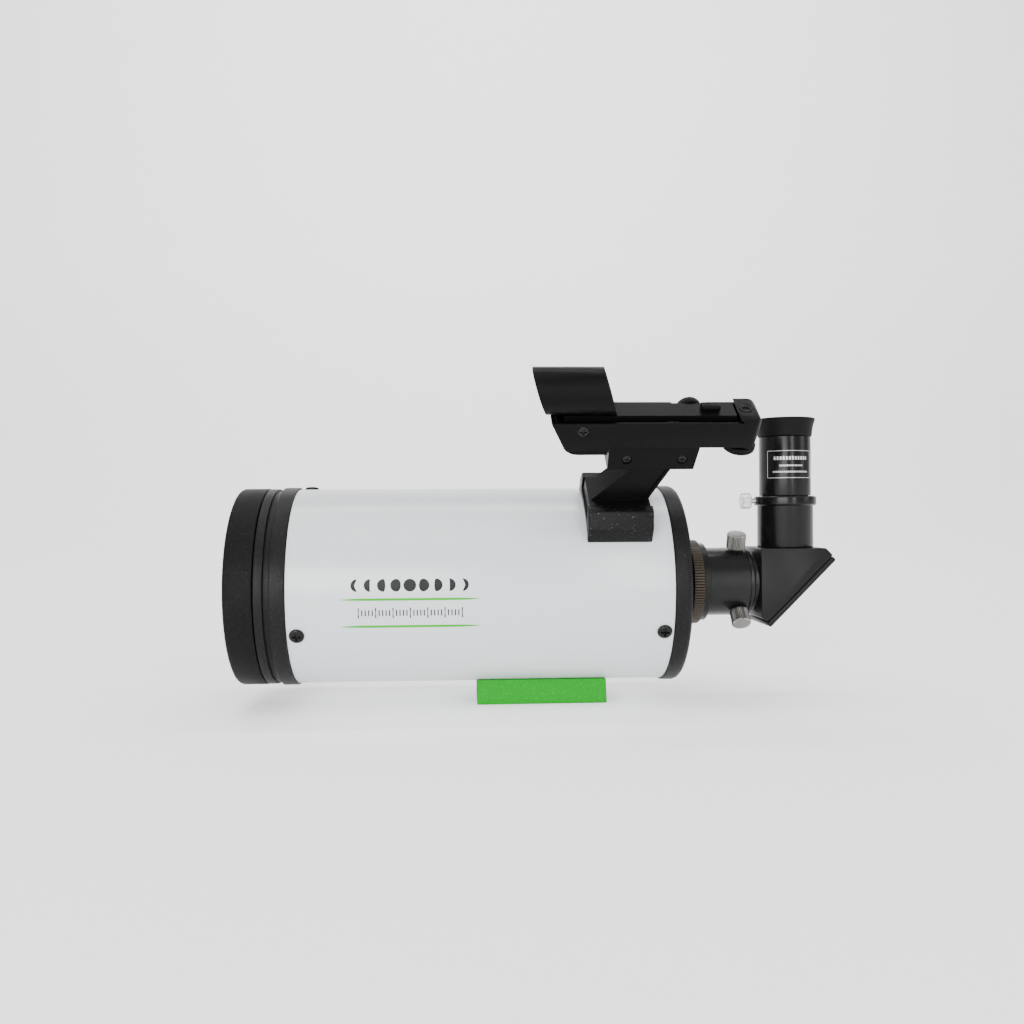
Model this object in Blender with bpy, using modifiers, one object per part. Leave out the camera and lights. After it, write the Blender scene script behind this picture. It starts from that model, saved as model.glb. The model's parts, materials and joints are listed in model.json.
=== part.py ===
"""A compact 102 mm Maksutov-Cassegrain telescope with a star diagonal, an eyepiece and a red-dot finder.

Metres, +Z up. The optical axis runs along X, with the sky at -X and the observer at +X.
The origin is the middle of the mounting bar's flat base.
"""

import math

import bmesh
import bpy
from mathutils import Matrix, Vector

# ---------------------------------------------------------------- shared values
GAP = 0.0003                 # air between pieces that touch on the real telescope
RUNNING_GAP = 0.00045        # air around a shank that turns in its hole
OVERSHOOT = 0.002            # how far a cutter passes the face that it opens
ROUND_STEPS = 36             # sides of the large turned pieces
MEDIUM_STEPS = 24            # sides of pieces as wide as an eyepiece
SIGHT_STEPS = 28             # sides of the sight tube
SMALL_STEPS = 12             # sides of knobs
TINY_STEPS = 8               # sides of screws
SMOOTH_ANGLE = math.radians(35)

# Mounting bar (a Vixen-pattern dovetail).
BAR_WIDTH = 0.044
BAR_LENGTH = 0.0809
BAR_DEPTH = 0.0125           # from its base to the lowest line of the tube
BAR_EDGE = 0.0025            # height of the straight lower edge
BAR_SLOPE = math.radians(15)
BAR_SCREW_SPACING = 0.054
BAR_SCREW_SINK = 0.0045
BAR_ROUND = 0.0005

# Main tube.
TUBE_RADIUS = 0.0610
TUBE_WALL = 0.0015
TUBE_LENGTH = 0.2269
TUBE_FRONT = -0.1511
AXIS_HEIGHT = BAR_DEPTH + TUBE_RADIUS
TUBE_REAR = TUBE_FRONT + TUBE_LENGTH
TUBE_BORE = TUBE_RADIUS - TUBE_WALL
SPIGOT_RADIUS = TUBE_BORE - GAP

# Black end rings and the screws that hold them.
RING_STEP = 0.0012           # how far the end rings stand proud of the tube
RING_RADIUS = TUBE_RADIUS + RING_STEP
FRONT_RING_LENGTH = 0.0091
FRONT_GROOVE_LENGTH = 0.0038
FRONT_GROOVE_DEPTH = 0.0028
FRONT_LIP_LENGTH = 0.0053
FRONT_LIP_STEP = 0.0008
FRONT_SPIGOT_LENGTH = 0.0131
REAR_RING_LENGTH = 0.0110
REAR_EDGE_ROUND = 0.0040
REAR_SPIGOT_LENGTH = 0.0130
SPIGOT_WALL = 0.0030
FRONT_SCREW_INSET = 0.0059   # from the tube's front end to its screws
REAR_SCREW_INSET = 0.0057
RING_SCREW_ANGLES = (114.0, -6.0, -126.0)    # degrees from straight up, towards -Y
SCREW_RADIUS = 0.0014
SCREW_HEAD_RADIUS = 0.0027
SCREW_HEAD_HEIGHT = 0.0017
SCREW_SUNK_TIP = 0.0030      # how far a screw through the tube's wall reaches inside it
RING_HEAD_RADIUS = 0.0045
RING_HEAD_HEIGHT = 0.0019

# Corrector: a deep meniscus, hollow towards the sky.
CELL_WALL = 0.0054           # of the cell, round the corrector
LEDGE_WIDTH = 0.0025         # how far the cell's inner ledge reaches over the corrector
CORRECTOR_THICKNESS = 0.0098
CORRECTOR_FRONT_CURVE = 0.1360
CORRECTOR_REAR_CURVE = 0.1400
LEDGE_LENGTH = 0.0050        # of the cell's inner ledge, which the gasket rests on
GASKET_THICKNESS = 0.0008
RETAINER_LENGTH = 0.0030
RETAINER_WALL = 0.0026
SECONDARY_RADIUS = 0.0140
SECONDARY_THICKNESS = 0.0006
SECONDARY_BAFFLE_BASE = 0.0165
SECONDARY_BAFFLE_MOUTH = 0.0185
SECONDARY_BAFFLE_LENGTH = 0.0260
SHEET = 0.0010               # wall of the light baffles

# Dust cap.
CAP_STEP = 0.0006            # how far the cap's side stands inside the front ring's
CAP_LENGTH = 0.0172
CAP_JOINT = 0.0006           # thin shadow line between cap and front lip
CAP_FACE = 0.0022
CAP_WALL = 0.0020
CAP_PLUG_LENGTH = 0.0080
CAP_ROUND = 0.0022
CAP_BORDER = 0.0085          # width of the raised border round the cap's face
CAP_DISH = 0.0008            # depth and slope of the sunk middle

# Rear plate, light baffle and focusing mirror.
REAR_PLATE = 0.0040
PORT_BOSS_RADIUS = 0.0245
PORT_BOSS_LENGTH = 0.0083
PORT_RADIUS = 0.0220
PORT_LENGTH = 0.0049
PORT_BORE = 0.0187
BAFFLE_RADIUS = 0.0120
BAFFLE_LENGTH = 0.1100
BAFFLE_FLANGE_LENGTH = 0.0140
MIRROR_ROOM = 0.0065         # from the tube's bore to the mirror's rim
MIRROR_THICKNESS = 0.0117
MIRROR_CURVE = 0.5600
MIRROR_INSET = 0.0258        # from the tube's rear end forward to the mirror's middle
SLEEVE_WALL = 0.0032
CARRIER_PLATE = 0.0030
CARRIER_STEP = 0.0030        # from the mirror's rim to the carrier's
CARRIER_TAIL = 0.0070
RETAINING_RING_WIDTH = 0.0042
RETAINING_RING_LENGTH = 0.0025

# Focuser.
FOCUS_KNOB_ROOM = 0.0015     # from the coupling ring to the knob beside it
FOCUS_SHAFT_RADIUS = 0.0025
FOCUS_NUT_RADIUS = 0.0062
FOCUS_NUT_LENGTH = 0.0090
FOCUS_BUSH_RADIUS = 0.0050
FOCUS_BUSH_FLANGE = 0.0080
FOCUS_KNOB_RADIUS = 0.0105
FOCUS_KNOB_LENGTH = 0.0160
FOCUS_KNOB_ROUND = 0.0010
FOCUS_KNOB_LIFT = 0.0030     # from the bush to the knob
FOCUS_SOCKET = 0.6           # how much of the knob's length the shaft fills
FOCUS_BUSH_INSIDE = 0.0020   # how far the bush shows inside the rear plate
FOCUS_BUSH_OUTSIDE = 0.0018
FOCUS_TIP_INSET = 0.0052     # from the mirror carrier's plate to the shaft's end
FOCUS_COLLAR_STEP = 0.0016
FOCUS_COLLAR_LENGTH = 0.0010

# Visual back and its knurled coupling ring.
BARREL_RADIUS = 0.015875     # the standard 31.75 mm push fit
BARREL_CLEARANCE = 0.00027
SOCKET_RADIUS = BARREL_RADIUS + BARREL_CLEARANCE
KNURL_RADIUS = 0.0270
KNURL_LENGTH = 0.0068
COUPLING_NECK_RADIUS = 0.0249
COUPLING_NECK_LENGTH = 0.0041
COUPLING_LIP = 0.0016
KNURL_ROUND = 0.0006
BACK_RADIUS = 0.0219
BACK_FLANGE_RADIUS = 0.0232
BACK_FLANGE_LENGTH = 0.0040
BACK_LENGTH = 0.0351
BACK_END_BAND = 0.0026
BACK_END_GROOVE = 0.0006
BACK_SCREW_INSET = 0.0091    # from the open end of the visual back
BACK_SCREW_ANGLES = (20.0, 140.0)
THUMB_RADIUS = 0.0060
THUMB_LENGTH = 0.0103
THUMB_SHANK_RADIUS = 0.0020
THUMB_LIFT = 0.0012

# Star diagonal: a mirror at 45 degrees in a square-sided housing.
HOUSING_STAND_OFF = 0.00384  # from the visual back to the housing
HOUSING_SIDE_MARGIN = 0.0032  # from the eyepiece holder to the housing's sides
HOUSING_FRONT_MARGIN = 0.0045
HOUSING_TOP_MARGIN = 0.0029  # from the nose's shoulder to the housing's top
HOUSING_WALL = 0.0022
HOUSING_BACK = 0.0046        # from the mirror's surface to the open slanted side
HOUSING_TOP_RUN_MARGIN = 0.0018  # from the eyepiece holder to the end of the flat top
HOUSING_TOP_CHAMFER = 0.0044  # the flat top meets the slanted side across this
HOUSING_LOW_CHAMFER = 0.0046
HOUSING_ROUND = 0.0006
COVER_ROUND = 0.0009
COVER_THICKNESS = 0.0034
COVER_LENGTH = 0.0600
COVER_SHIFT = -0.0014
MIRROR_PLATE_LENGTH = 0.0480
MIRROR_PLATE_HALF_WIDTH = 0.0165
MIRROR_PLATE_THICKNESS = 0.0040
NOSE_LENGTH = 0.0280
NOSE_SHOULDER_STEP = 0.003125
NOSE_SHOULDER_LENGTH = 0.0027
NOSE_WALL = 0.001875
NOSE_THREAD_STEP = 0.000875
NOSE_LEAD = 0.0008           # chamfer that leads the nose into its socket

# Eyepiece holder on the diagonal.
HOLDER_WALL = 0.001555
HOLDER_LENGTH = 0.0268
COLLAR_STEP = 0.0020
COLLAR_LENGTH = 0.0061
COLLAR_ROUND = 0.0008
HOLDER_SPIGOT_STEP = 0.0007
LOCK_HEAD_RADIUS = 0.0051
LOCK_HEAD_LENGTH = 0.0062
LOCK_SHANK_RADIUS = 0.0016
LOCK_REACH = 0.0033          # bare thread between the collar and the head

# Eyepiece.
EYEPIECE_STEP = 0.000475      # how far the body stands proud of the barrel
EYEPIECE_BODY_LENGTH = 0.0380
EYEPIECE_BARREL_LENGTH = 0.0240
EYEPIECE_THREAD_LENGTH = 0.0050
EYEPIECE_THREAD_STEP = 0.001275
EYEPIECE_WALL = 0.0012
NECK_RADIUS = 0.0145
NECK_LENGTH = 0.0038
EYE_APERTURE = 0.0108
FIELD_LENS_MARGIN = 0.0008
FIELD_LENS_THICKNESS = 0.0060
FIELD_CURVE = 0.0400
EYE_LENS_RADIUS = 0.0122
EYE_LENS_THICKNESS = 0.0065
EYE_LENS_TOP_CURVE = 0.0340
EYE_LENS_CURVE = 0.0600
LENS_SEAT = 0.0016
CUP_LENGTH = 0.0117
CUP_STEP = 0.00065
CUP_RIM_FLARE = 0.0022
CUP_LIP = 0.0011
CUP_BAND = 0.30              # the straight lower band, as a share of the cup's length
CUP_BAND_FLARE = 0.0003
CUP_WAIST = 0.55             # where the flare begins, as a share of the cup's length
CUP_WAIST_FLARE = 0.0008
CUP_WELL_STEP = 0.0022       # from the eye lens's opening to the rubber round it
CUP_WELL_RIM = 0.0026
CUP_WELL_RISE = 0.0010
CUP_WELL_WALL = 0.0018
SPACER_SHOULDER = 0.0012
SPACER_LEAD = 0.0030

# Finder: everything below is measured from the optical axis, in a frame leaned over towards -Y.
FINDER_LEAN = math.radians(38.0)
FINDER_DATUM = 0.0758        # X of the tube's rear end as this section counts it
SHOE_FRONT = 0.0247
SHOE_LENGTH = 0.0386
SHOE_HEIGHT = 0.0126         # above the tube
SHOE_TOP_HALF_WIDTH = 0.0198
SHOE_FLARE_HALF_WIDTH = 0.0262
SHOE_FLARE_RISE = 0.0040     # above the tube
SHOE_FOOT_HALF_WIDTH = 0.0262
FOOT_DEPTH = 0.0092
FOOT_TOP_HALF_WIDTH = 0.0138
FOOT_SLOPE = math.radians(17)
FOOT_INSET = 0.0012
SHOE_ROUND = 0.0007
SHOE_SCREW_SPACING = 0.0200
SHOE_LOCK_X = 0.0479
SHOE_LOCK_RISE = 0.0078      # above the tube
SHOE_LOCK_HEAD_RADIUS = 0.0046
STALK_HALF_WIDTH = 0.0086
STALK_FRONT_LOW = 0.0022     # the leaning stalk's four corners, from the shoe's front end
STALK_REAR_LOW = 0.0362
STALK_FRONT_HIGH = 0.0250
STALK_REAR_HIGH = 0.0480
STALK_WEB_SINK = 0.0016
STALK_RIM = 0.0017
STALK_HEAD_SINK = 0.0015     # how far the stalk runs into the clamp
CLAMP_FRONT = 0.0349
CLAMP_LENGTH = 0.0524
CLAMP_LOW = 0.0959
CLAMP_SCREW_HEIGHT = 0.0068  # above the clamp's underside
CLAMP_REAR_SLANT = 0.0020
CLAMP_SPLIT = -0.0025        # the jaw is the part on the -Y side of this
CLAMP_SCREW_INSET = 0.0109
CLAMP_SCREW_SPACING = 0.0322
CLAMP_SCREW_COVER = 0.0015   # metal left behind a clamp screw's tip
RAIL_NECK_HALF_WIDTH = 0.0036
RAIL_FOOT_HALF_WIDTH = 0.0054
RAIL_DEPTH = 0.0074
RAIL_ROOT = 0.0010          # how far the rail runs into the base
RAIL_INSET = 0.0010         # from the rail's rear end to the clamp's

BASE_FRONT = 0.0008
BASE_REAR = 0.1197
BASE_HALF_WIDTH = 0.0116
BASE_WALL = 0.0016
BASE_FLOOR = 0.0024
BASE_UNDERSIDE = 0.1130
BASE_WALL_TOP = 0.1291
BULGE_REAR = 0.0335
BULGE_DEPTH = 0.0049
BULGE_ROUND = 0.0090
BASE_REAR_LEAN = 0.0030
BASE_FRONT_LEAN = 0.0014    # slope of the channel's front end
BULGE_CENTRE_X = 0.0163
CHANNEL_FLOOR_LEAD = 0.0060  # from the bulge's centre forward to the channel's flat floor
YOKE_LENGTH = 0.0130
YOKE_SLANT = 0.0026
YOKE_ROUND = 0.0032
YOKE_CORNER = 0.0050        # rounding of the rear end seen from above
YOKE_WALL = 0.0040
YOKE_ROOF_THICKNESS = 0.0044
ARM_TOP = 0.1314
PIVOT_X = 0.0189
PIVOT_HEIGHT = 0.1238
PIVOT_SCREW_RADIUS = 0.0015
PIVOT_HEAD_RADIUS = 0.0033
PIVOT_HEAD_SINK = 0.0009
PIVOT_HEAD_HEIGHT = 0.0012
FINDER_ROUND = 0.0005        # softened edges of the finder's mouldings

BATTERY_RADIUS = 0.0100      # a 20 mm coin cell
BATTERY_THICKNESS = 0.0032
BATTERY_INSET = 0.0013       # wall between the cell and the bulge's rear
BATTERY_LID = 0.0018
BATTERY_ROUND = 0.0003

ARM_HALF_WIDTH = 0.0067
ARM_THICKNESS = 0.0040
ARM_PAD_THICKNESS = 0.0036
ARM_PAD_FRONT = 0.0080
ARM_FRONT = 0.0350
ARM_REAR_GAP = 0.0012
BEAM_HALF_WIDTH = 0.0025
BEAM_THICKNESS = 0.0024
BEAM_END_HALF_WIDTH = 0.0045
BEAM_BLOCK_LENGTH = 0.0130
BEAM_LIFT = 0.0034           # from the base's floor to the beam
BEAM_NUT_LENGTH = 0.0060
BEAM_NUT_HEIGHT = 0.0048
AZIMUTH_PIN_RADIUS = 0.0020
AZIMUTH_PIN_LENGTH = 0.0030
JOIN_DEPTH = 0.0010          # how far joined shapes run into each other

SIGHT_RADIUS = 0.0133
SIGHT_WALL = 0.0013
SIGHT_UNDERSIDE = 0.1302
SIGHT_LENGTH = 0.0396
SIGHT_FRONT = -0.0058        # X of the middle of the front mouth
SIGHT_SLANT = math.radians(18.7)
WINDOW_THICKNESS = 0.0018
WINDOW_INSET = 0.0045

LAMP_X = 0.0914
LAMP_LENGTH = 0.0107
LAMP_HALF_WIDTH = 0.0027
LAMP_HEIGHT = 0.0030
LAMP_PORT_RADIUS = 0.0009
LAMP_PORT_DEPTH = 0.0020
DIAL_X = 0.0815
DIAL_HEIGHT = 0.1257
DIAL_RADIUS = 0.0075
DIAL_WIDTH = 0.0045
DIAL_ROOM = 0.0026           # air round the dial for the arm's two adjustments
DIAL_AXLE_RADIUS = 0.0015
DIAL_AXLE_REACH = 0.0030
DIAL_RIM = 0.0006
POD_HALF_LENGTH = 0.0080     # the circuit's housing under the arm
POD_HEIGHT = 0.0054
WHEEL_RADIUS = 0.0095
WHEEL_THICKNESS = 0.0042
WHEEL_DROP = 0.0034          # from the base's underside to the wheel
WHEEL_SHANK_RADIUS = 0.0016
WHEEL_X_FROM_REAR = 0.0078
WHEEL_RIM = 0.0007
WHEEL_COLLAR = 0.0014       # width of the shoulder that runs against the base
WHEEL_TIP_RADIUS = 0.0034
WHEEL_TIP_HEIGHT = 0.0014
WHEEL_TIP_RISE = 0.0004      # how far the tip stands above the yoke
WHEEL_RECESS = 0.0008
AZIMUTH_X = 0.0980
AZIMUTH_HEIGHT = 0.1195
AZIMUTH_KNOB_RADIUS = 0.0045
AZIMUTH_KNOB_LENGTH = 0.0040
AZIMUTH_SHANK_RADIUS = 0.0012
AZIMUTH_TRAVEL = 0.0024      # how far the arm's tail swings each way
AZIMUTH_TAB_THICKNESS = 0.0017
AZIMUTH_TAB_HALF_LENGTH = 0.0030
AZIMUTH_TAB_DROP = 0.0015    # how far the tab reaches below the knob's axis
AZIMUTH_TAB_SHY = 0.0001     # the tab stops this short of the arm's side

# ---------------------------------------------------------------- colours: linear red, green, blue
BLACK_SATIN = (0.012, 0.012, 0.012)
BLACK_MATT = (0.018, 0.018, 0.019)
CHARCOAL = (0.030, 0.030, 0.031)
WHITE_PAINT = (0.70, 0.72, 0.73)
GREEN_PAINT = (0.045, 0.40, 0.09)
SILVER = (0.60, 0.59, 0.57)
BRIGHT_SILVER = (0.75, 0.75, 0.75)
GLASS = (0.80, 0.88, 0.90)
MIRROR_COAT = (0.88, 0.89, 0.90)


# ---------------------------------------------------------------- making things
def clear_scene():
    for thing in list(bpy.data.objects):
        bpy.data.objects.remove(thing, do_unlink=True)


def make_collection(name):
    made = bpy.data.collections.new(name)
    bpy.context.scene.collection.children.link(made)
    return made


def make_material(name, colour, roughness, metallic=0.0):
    made = bpy.data.materials.new(name)
    made.use_nodes = True
    shader = made.node_tree.nodes["Principled BSDF"]
    shader.inputs["Base Color"].default_value = (*colour, 1.0)
    shader.inputs["Roughness"].default_value = roughness
    shader.inputs["Metallic"].default_value = metallic
    return made


def make_frame(name, parent=None, matrix=Matrix()):
    made = bpy.data.objects.new(name, None)
    made.empty_display_size = 0.02
    PARTS.objects.link(made)
    made.parent = parent
    made.matrix_local = matrix
    return made


def make_object(name, mesh, frame, matrix):
    made = bpy.data.objects.new(name, mesh)
    PARTS.objects.link(made)
    made.parent = frame
    made.matrix_local = matrix
    return made


def paint(part, colour, roughness, metallic=0.0):
    part.data.materials.append(make_material(part.name, colour, roughness, metallic))
    return part


def along_x(offset=0.0, height=0.0):
    """A turned piece's own axis laid along the telescope."""
    return Matrix.Translation((0.0, offset, height)) @ Matrix.Rotation(math.radians(90), 4, 'Y')


def outwards(x, degrees):
    """A frame at X whose Z points out of the tube, leaned from straight up towards -Y."""
    return Matrix.Translation((x, 0.0, 0.0)) @ Matrix.Rotation(math.radians(degrees), 4, 'X')


def at(x, y=0.0, z=0.0):
    return Matrix.Translation((x, y, z))


FLAT_SIDE = Matrix.Rotation(math.radians(90), 4, 'X')            # an outline drawn in X and Z
CROSS_SECTION = Matrix(((0, 0, 1, 0), (1, 0, 0, 0), (0, 1, 0, 0), (0, 0, 0, 1)))  # drawn in Y and Z


def arc(centre, radius, start, end, steps):
    """Points on an arc, angles in degrees."""
    points = []
    for step in range(steps + 1):
        angle = math.radians(start + (end - start) * step / steps)
        points.append((centre[0] + radius * math.cos(angle), centre[1] + radius * math.sin(angle)))
    return points


def bowl(radius, curve, vertex, steps, sign=-1.0):
    """Radius and height of points from the axis out across a shallow spherical face."""
    points = []
    for step in range(steps + 1):
        r = radius * step / steps
        sag = curve - math.sqrt(curve * curve - r * r)
        points.append((r, vertex + sign * sag))
    return points


def turned(name, profile, frame, matrix, steps=ROUND_STEPS, closed=False):
    """A profile of radius and height, outer side downwards, turned about its own Z."""
    mesh = bpy.data.meshes.new(name)
    shape = bmesh.new()
    corners = [shape.verts.new((r, 0.0, z)) for r, z in profile]
    for first, second in zip(corners, corners[1:]):
        shape.edges.new((first, second))
    if closed:
        shape.edges.new((corners[-1], corners[0]))
    shape.to_mesh(mesh)
    shape.free()
    part = make_object(name, mesh, frame, matrix)
    turn = part.modifiers.new("Turn", 'SCREW')
    turn.steps = steps
    turn.render_steps = steps
    turn.use_merge_vertices = True
    turn.merge_threshold = 0.00001
    return part


def rod(name, radius, low, high, frame, matrix, steps=TINY_STEPS, end_radius=None):
    mesh = bpy.data.meshes.new(name)
    shape = bmesh.new()
    bmesh.ops.create_cone(
        shape, cap_ends=True, segments=steps, radius1=radius,
        radius2=radius if end_radius is None else end_radius, depth=high - low,
        matrix=Matrix.Translation((0.0, 0.0, (low + high) / 2)))
    shape.to_mesh(mesh)
    shape.free()
    return make_object(name, mesh, frame, matrix)


def box(name, low, high, frame, matrix=Matrix()):
    mesh = bpy.data.meshes.new(name)
    shape = bmesh.new()
    bmesh.ops.create_cube(shape, size=1.0)
    size = Vector(high) - Vector(low)
    bmesh.ops.scale(shape, vec=size, verts=shape.verts)
    bmesh.ops.translate(shape, vec=Vector(low) + size / 2, verts=shape.verts)
    shape.to_mesh(mesh)
    shape.free()
    return make_object(name, mesh, frame, matrix)


def plate(name, outline, low, high, frame, matrix):
    """A flat outline given thickness, from low to high along its own Z."""
    curve = bpy.data.curves.new(name, 'CURVE')
    curve.dimensions = '2D'
    curve.fill_mode = 'BOTH'
    curve.extrude = (high - low) / 2
    line = curve.splines.new('POLY')
    line.points.add(len(outline) - 1)
    for point, (x, y) in zip(line.points, outline):
        point.co = (x, y, 0.0, 1.0)
    line.use_cyclic_u = True
    drawn = make_object(name, curve, frame, matrix @ Matrix.Translation((0.0, 0.0, (low + high) / 2)))
    bpy.context.view_layer.update()
    mesh = bpy.data.meshes.new_from_object(drawn.evaluated_get(bpy.context.evaluated_depsgraph_get()))
    local = drawn.matrix_local.copy()
    bpy.data.objects.remove(drawn, do_unlink=True)
    bpy.data.curves.remove(curve)
    shape = bmesh.new()
    shape.from_mesh(mesh)
    bmesh.ops.remove_doubles(shape, verts=shape.verts, dist=0.000001)
    shape.to_mesh(mesh)
    shape.free()
    return make_object(name, mesh, frame, local)


def bevel(part, width, segments=2, angle=40.0):
    edge = part.modifiers.new("Round", 'BEVEL')
    edge.width = width
    edge.segments = segments
    edge.limit_method = 'ANGLE'
    edge.angle_limit = math.radians(angle)
    return part


def combine(part, tool, operation):
    """Cuts the tool out of the part, joins it on, or keeps what they share."""
    PARTS.objects.unlink(tool)
    CUTTERS.objects.link(tool)
    tool.hide_render = True
    tool.display_type = 'WIRE'
    step = part.modifiers.new(operation.title(), 'BOOLEAN')
    step.operation = operation
    step.object = tool
    return part


def cut(part, tool):
    return combine(part, tool, 'DIFFERENCE')


def join(part, tool):
    return combine(part, tool, 'UNION')


def shade(part):
    """Keeps the finished shape, smooth round its curves and sharp at its edges."""
    mesh = bpy.data.meshes.new_from_object(part.evaluated_get(bpy.context.evaluated_depsgraph_get()))
    mesh.name = part.name
    mesh.shade_smooth()
    mesh.set_sharp_from_angle(angle=SMOOTH_ANGLE)
    return mesh


# ---------------------------------------------------------------- repeated kinds of piece
def cross_recess(part, frame, matrix, top, radius, depth):
    """The cross-shaped driver recess in a screw's head."""
    reach = radius * 0.62
    blade = radius * 0.16
    for turn in (0.0, 90.0):
        low = (-reach, -blade, top - depth)
        high = (reach, blade, top + OVERSHOOT)
        tool = box(part.name + "_recess", low, high, frame, matrix @ Matrix.Rotation(math.radians(turn), 4, 'Z'))
        cut(part, tool)
    return part


def machine_screw(name, frame, matrix, seat, tip, shank=SCREW_RADIUS, head=SCREW_HEAD_RADIUS,
                  height=SCREW_HEAD_HEIGHT):
    """A pan-head screw along its own Z: its head sits at seat and its shank ends at tip."""
    crown = height * 0.45
    profile = [(0.0, seat + height), (head * 0.62, seat + height), (head, seat + height - crown),
               (head, seat), (shank, seat), (shank, tip), (0.0, tip)]
    part = turned(name, profile, frame, matrix, TINY_STEPS)
    return cross_recess(part, frame, matrix, seat + height, head, height * 0.6)


def thumb_screw(name, frame, matrix, seat, length, head, tip, shank):
    """A round-headed screw for the fingers, with a short plain neck under its head."""
    rim = length * 0.07
    profile = [(0.0, seat + length), (head - rim, seat + length), (head, seat + length - rim),
               (head, seat + rim), (head - rim, seat), (shank, seat), (shank, tip), (0.0, tip)]
    return turned(name, profile, frame, matrix, SMALL_STEPS)


def hole(part, radius, low, high, frame, matrix, steps=TINY_STEPS):
    return cut(part, rod(part.name + "_hole", radius, low, high, frame, matrix, steps))


# ---------------------------------------------------------------- sizes that follow from their neighbours
CORRECTOR_RADIUS = SPIGOT_RADIUS - CELL_WALL - GAP
CLEAR_APERTURE = CORRECTOR_RADIUS - LEDGE_WIDTH
CAP_RADIUS = RING_RADIUS - CAP_STEP
MIRROR_RADIUS = TUBE_BORE - MIRROR_ROOM
CARRIER_RADIUS = MIRROR_RADIUS - CARRIER_STEP
FOCUS_OFFSET = KNURL_RADIUS + FOCUS_KNOB_ROOM + FOCUS_KNOB_RADIUS   # from the optical axis, towards +Y
HOLDER_RADIUS = SOCKET_RADIUS + HOLDER_WALL
COLLAR_RADIUS = HOLDER_RADIUS + COLLAR_STEP
HOLDER_SPIGOT_RADIUS = HOLDER_RADIUS - HOLDER_SPIGOT_STEP
NOSE_SHOULDER_RADIUS = BARREL_RADIUS + NOSE_SHOULDER_STEP
NOSE_THREAD_RADIUS = BARREL_RADIUS - NOSE_THREAD_STEP
NOSE_BORE = BARREL_RADIUS - NOSE_WALL
HOUSING_HALF_WIDTH = HOLDER_RADIUS + HOUSING_SIDE_MARGIN
HOUSING_FRONT_REACH = HOLDER_RADIUS + HOUSING_FRONT_MARGIN
HOUSING_TOP_RUN = HOLDER_RADIUS + HOUSING_TOP_RUN_MARGIN
HOUSING_TOP = NOSE_SHOULDER_RADIUS + HOUSING_TOP_MARGIN              # above the optical axis
EYEPIECE_RADIUS = BARREL_RADIUS + EYEPIECE_STEP
EYEPIECE_THREAD_RADIUS = BARREL_RADIUS - EYEPIECE_THREAD_STEP
FIELD_LENS_RADIUS = EYEPIECE_THREAD_RADIUS - FIELD_LENS_MARGIN
CUP_RADIUS = EYEPIECE_RADIUS + CUP_STEP
CUP_RIM_RADIUS = CUP_RADIUS + CUP_RIM_FLARE
SHOE_TOP = TUBE_RADIUS + SHOE_HEIGHT
SHOE_FLARE_HEIGHT = TUBE_RADIUS + SHOE_FLARE_RISE
SHOE_LOCK_HEIGHT = TUBE_RADIUS + SHOE_LOCK_RISE
SIGHT_HEIGHT = SIGHT_UNDERSIDE + SIGHT_RADIUS

# ---------------------------------------------------------------- places along the optical axis
RING_FRONT = TUBE_FRONT - FRONT_RING_LENGTH
LIP_BACK = RING_FRONT - FRONT_GROOVE_LENGTH
CELL_FRONT = LIP_BACK - FRONT_LIP_LENGTH
CELL_SPIGOT_END = TUBE_FRONT + FRONT_SPIGOT_LENGTH
CORRECTOR_BORE = CORRECTOR_RADIUS + GAP
LEDGE_FRONT = CELL_SPIGOT_END - LEDGE_LENGTH
FRONT_SAG = CORRECTOR_FRONT_CURVE - math.sqrt(CORRECTOR_FRONT_CURVE ** 2 - CORRECTOR_RADIUS ** 2)
SEAT_SAG = CORRECTOR_REAR_CURVE - math.sqrt(CORRECTOR_REAR_CURVE ** 2 - CLEAR_APERTURE ** 2)
CORRECTOR_REAR = LEDGE_FRONT - GASKET_THICKNESS - 2 * GAP + SEAT_SAG
CORRECTOR_FRONT = CORRECTOR_REAR - CORRECTOR_THICKNESS
CORRECTOR_FRONT_EDGE = CORRECTOR_FRONT - FRONT_SAG
RETAINER_REAR = CORRECTOR_FRONT_EDGE - GAP
CAP_BACK = CELL_FRONT - CAP_JOINT
CAP_FRONT = CAP_BACK - CAP_LENGTH
SCREW_CLEAR = SCREW_RADIUS + RUNNING_GAP

PLATE_BACK = TUBE_REAR + REAR_RING_LENGTH
PLATE_FRONT = PLATE_BACK - REAR_PLATE
BOSS_END = PLATE_BACK + PORT_BOSS_LENGTH
PORT_END = BOSS_END + PORT_LENGTH
BAFFLE_BORE = BAFFLE_RADIUS - SHEET
SLEEVE_BORE = BAFFLE_RADIUS + GAP
SLEEVE_RADIUS = SLEEVE_BORE + SLEEVE_WALL
MIRROR_FRONT = TUBE_REAR - MIRROR_INSET
MIRROR_BACK = MIRROR_FRONT + MIRROR_THICKNESS
CARRIER_FRONT = MIRROR_BACK + GAP
CARRIER_BACK = CARRIER_FRONT + CARRIER_PLATE

COUPLING_FRONT = BOSS_END + GAP
COUPLING_STEP = COUPLING_FRONT + KNURL_LENGTH
COUPLING_END = COUPLING_STEP + COUPLING_NECK_LENGTH
BACK_FRONT = PORT_END + GAP
BACK_END = BACK_FRONT + BACK_LENGTH
BACK_SCREW_X = BACK_END - BACK_SCREW_INSET
HOUSING_FRONT = BACK_END + HOUSING_STAND_OFF
EYEPIECE_X = HOUSING_FRONT + HOUSING_FRONT_REACH
HOLDER_BASE = HOUSING_TOP + GAP
COLLAR_BASE = HOLDER_BASE + HOLDER_LENGTH
HOLDER_TOP = COLLAR_BASE + COLLAR_LENGTH
LOCK_HEIGHT = COLLAR_BASE + COLLAR_LENGTH / 2
BODY_BASE = HOLDER_TOP + GAP
BODY_TOP = BODY_BASE + EYEPIECE_BODY_LENGTH


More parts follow.
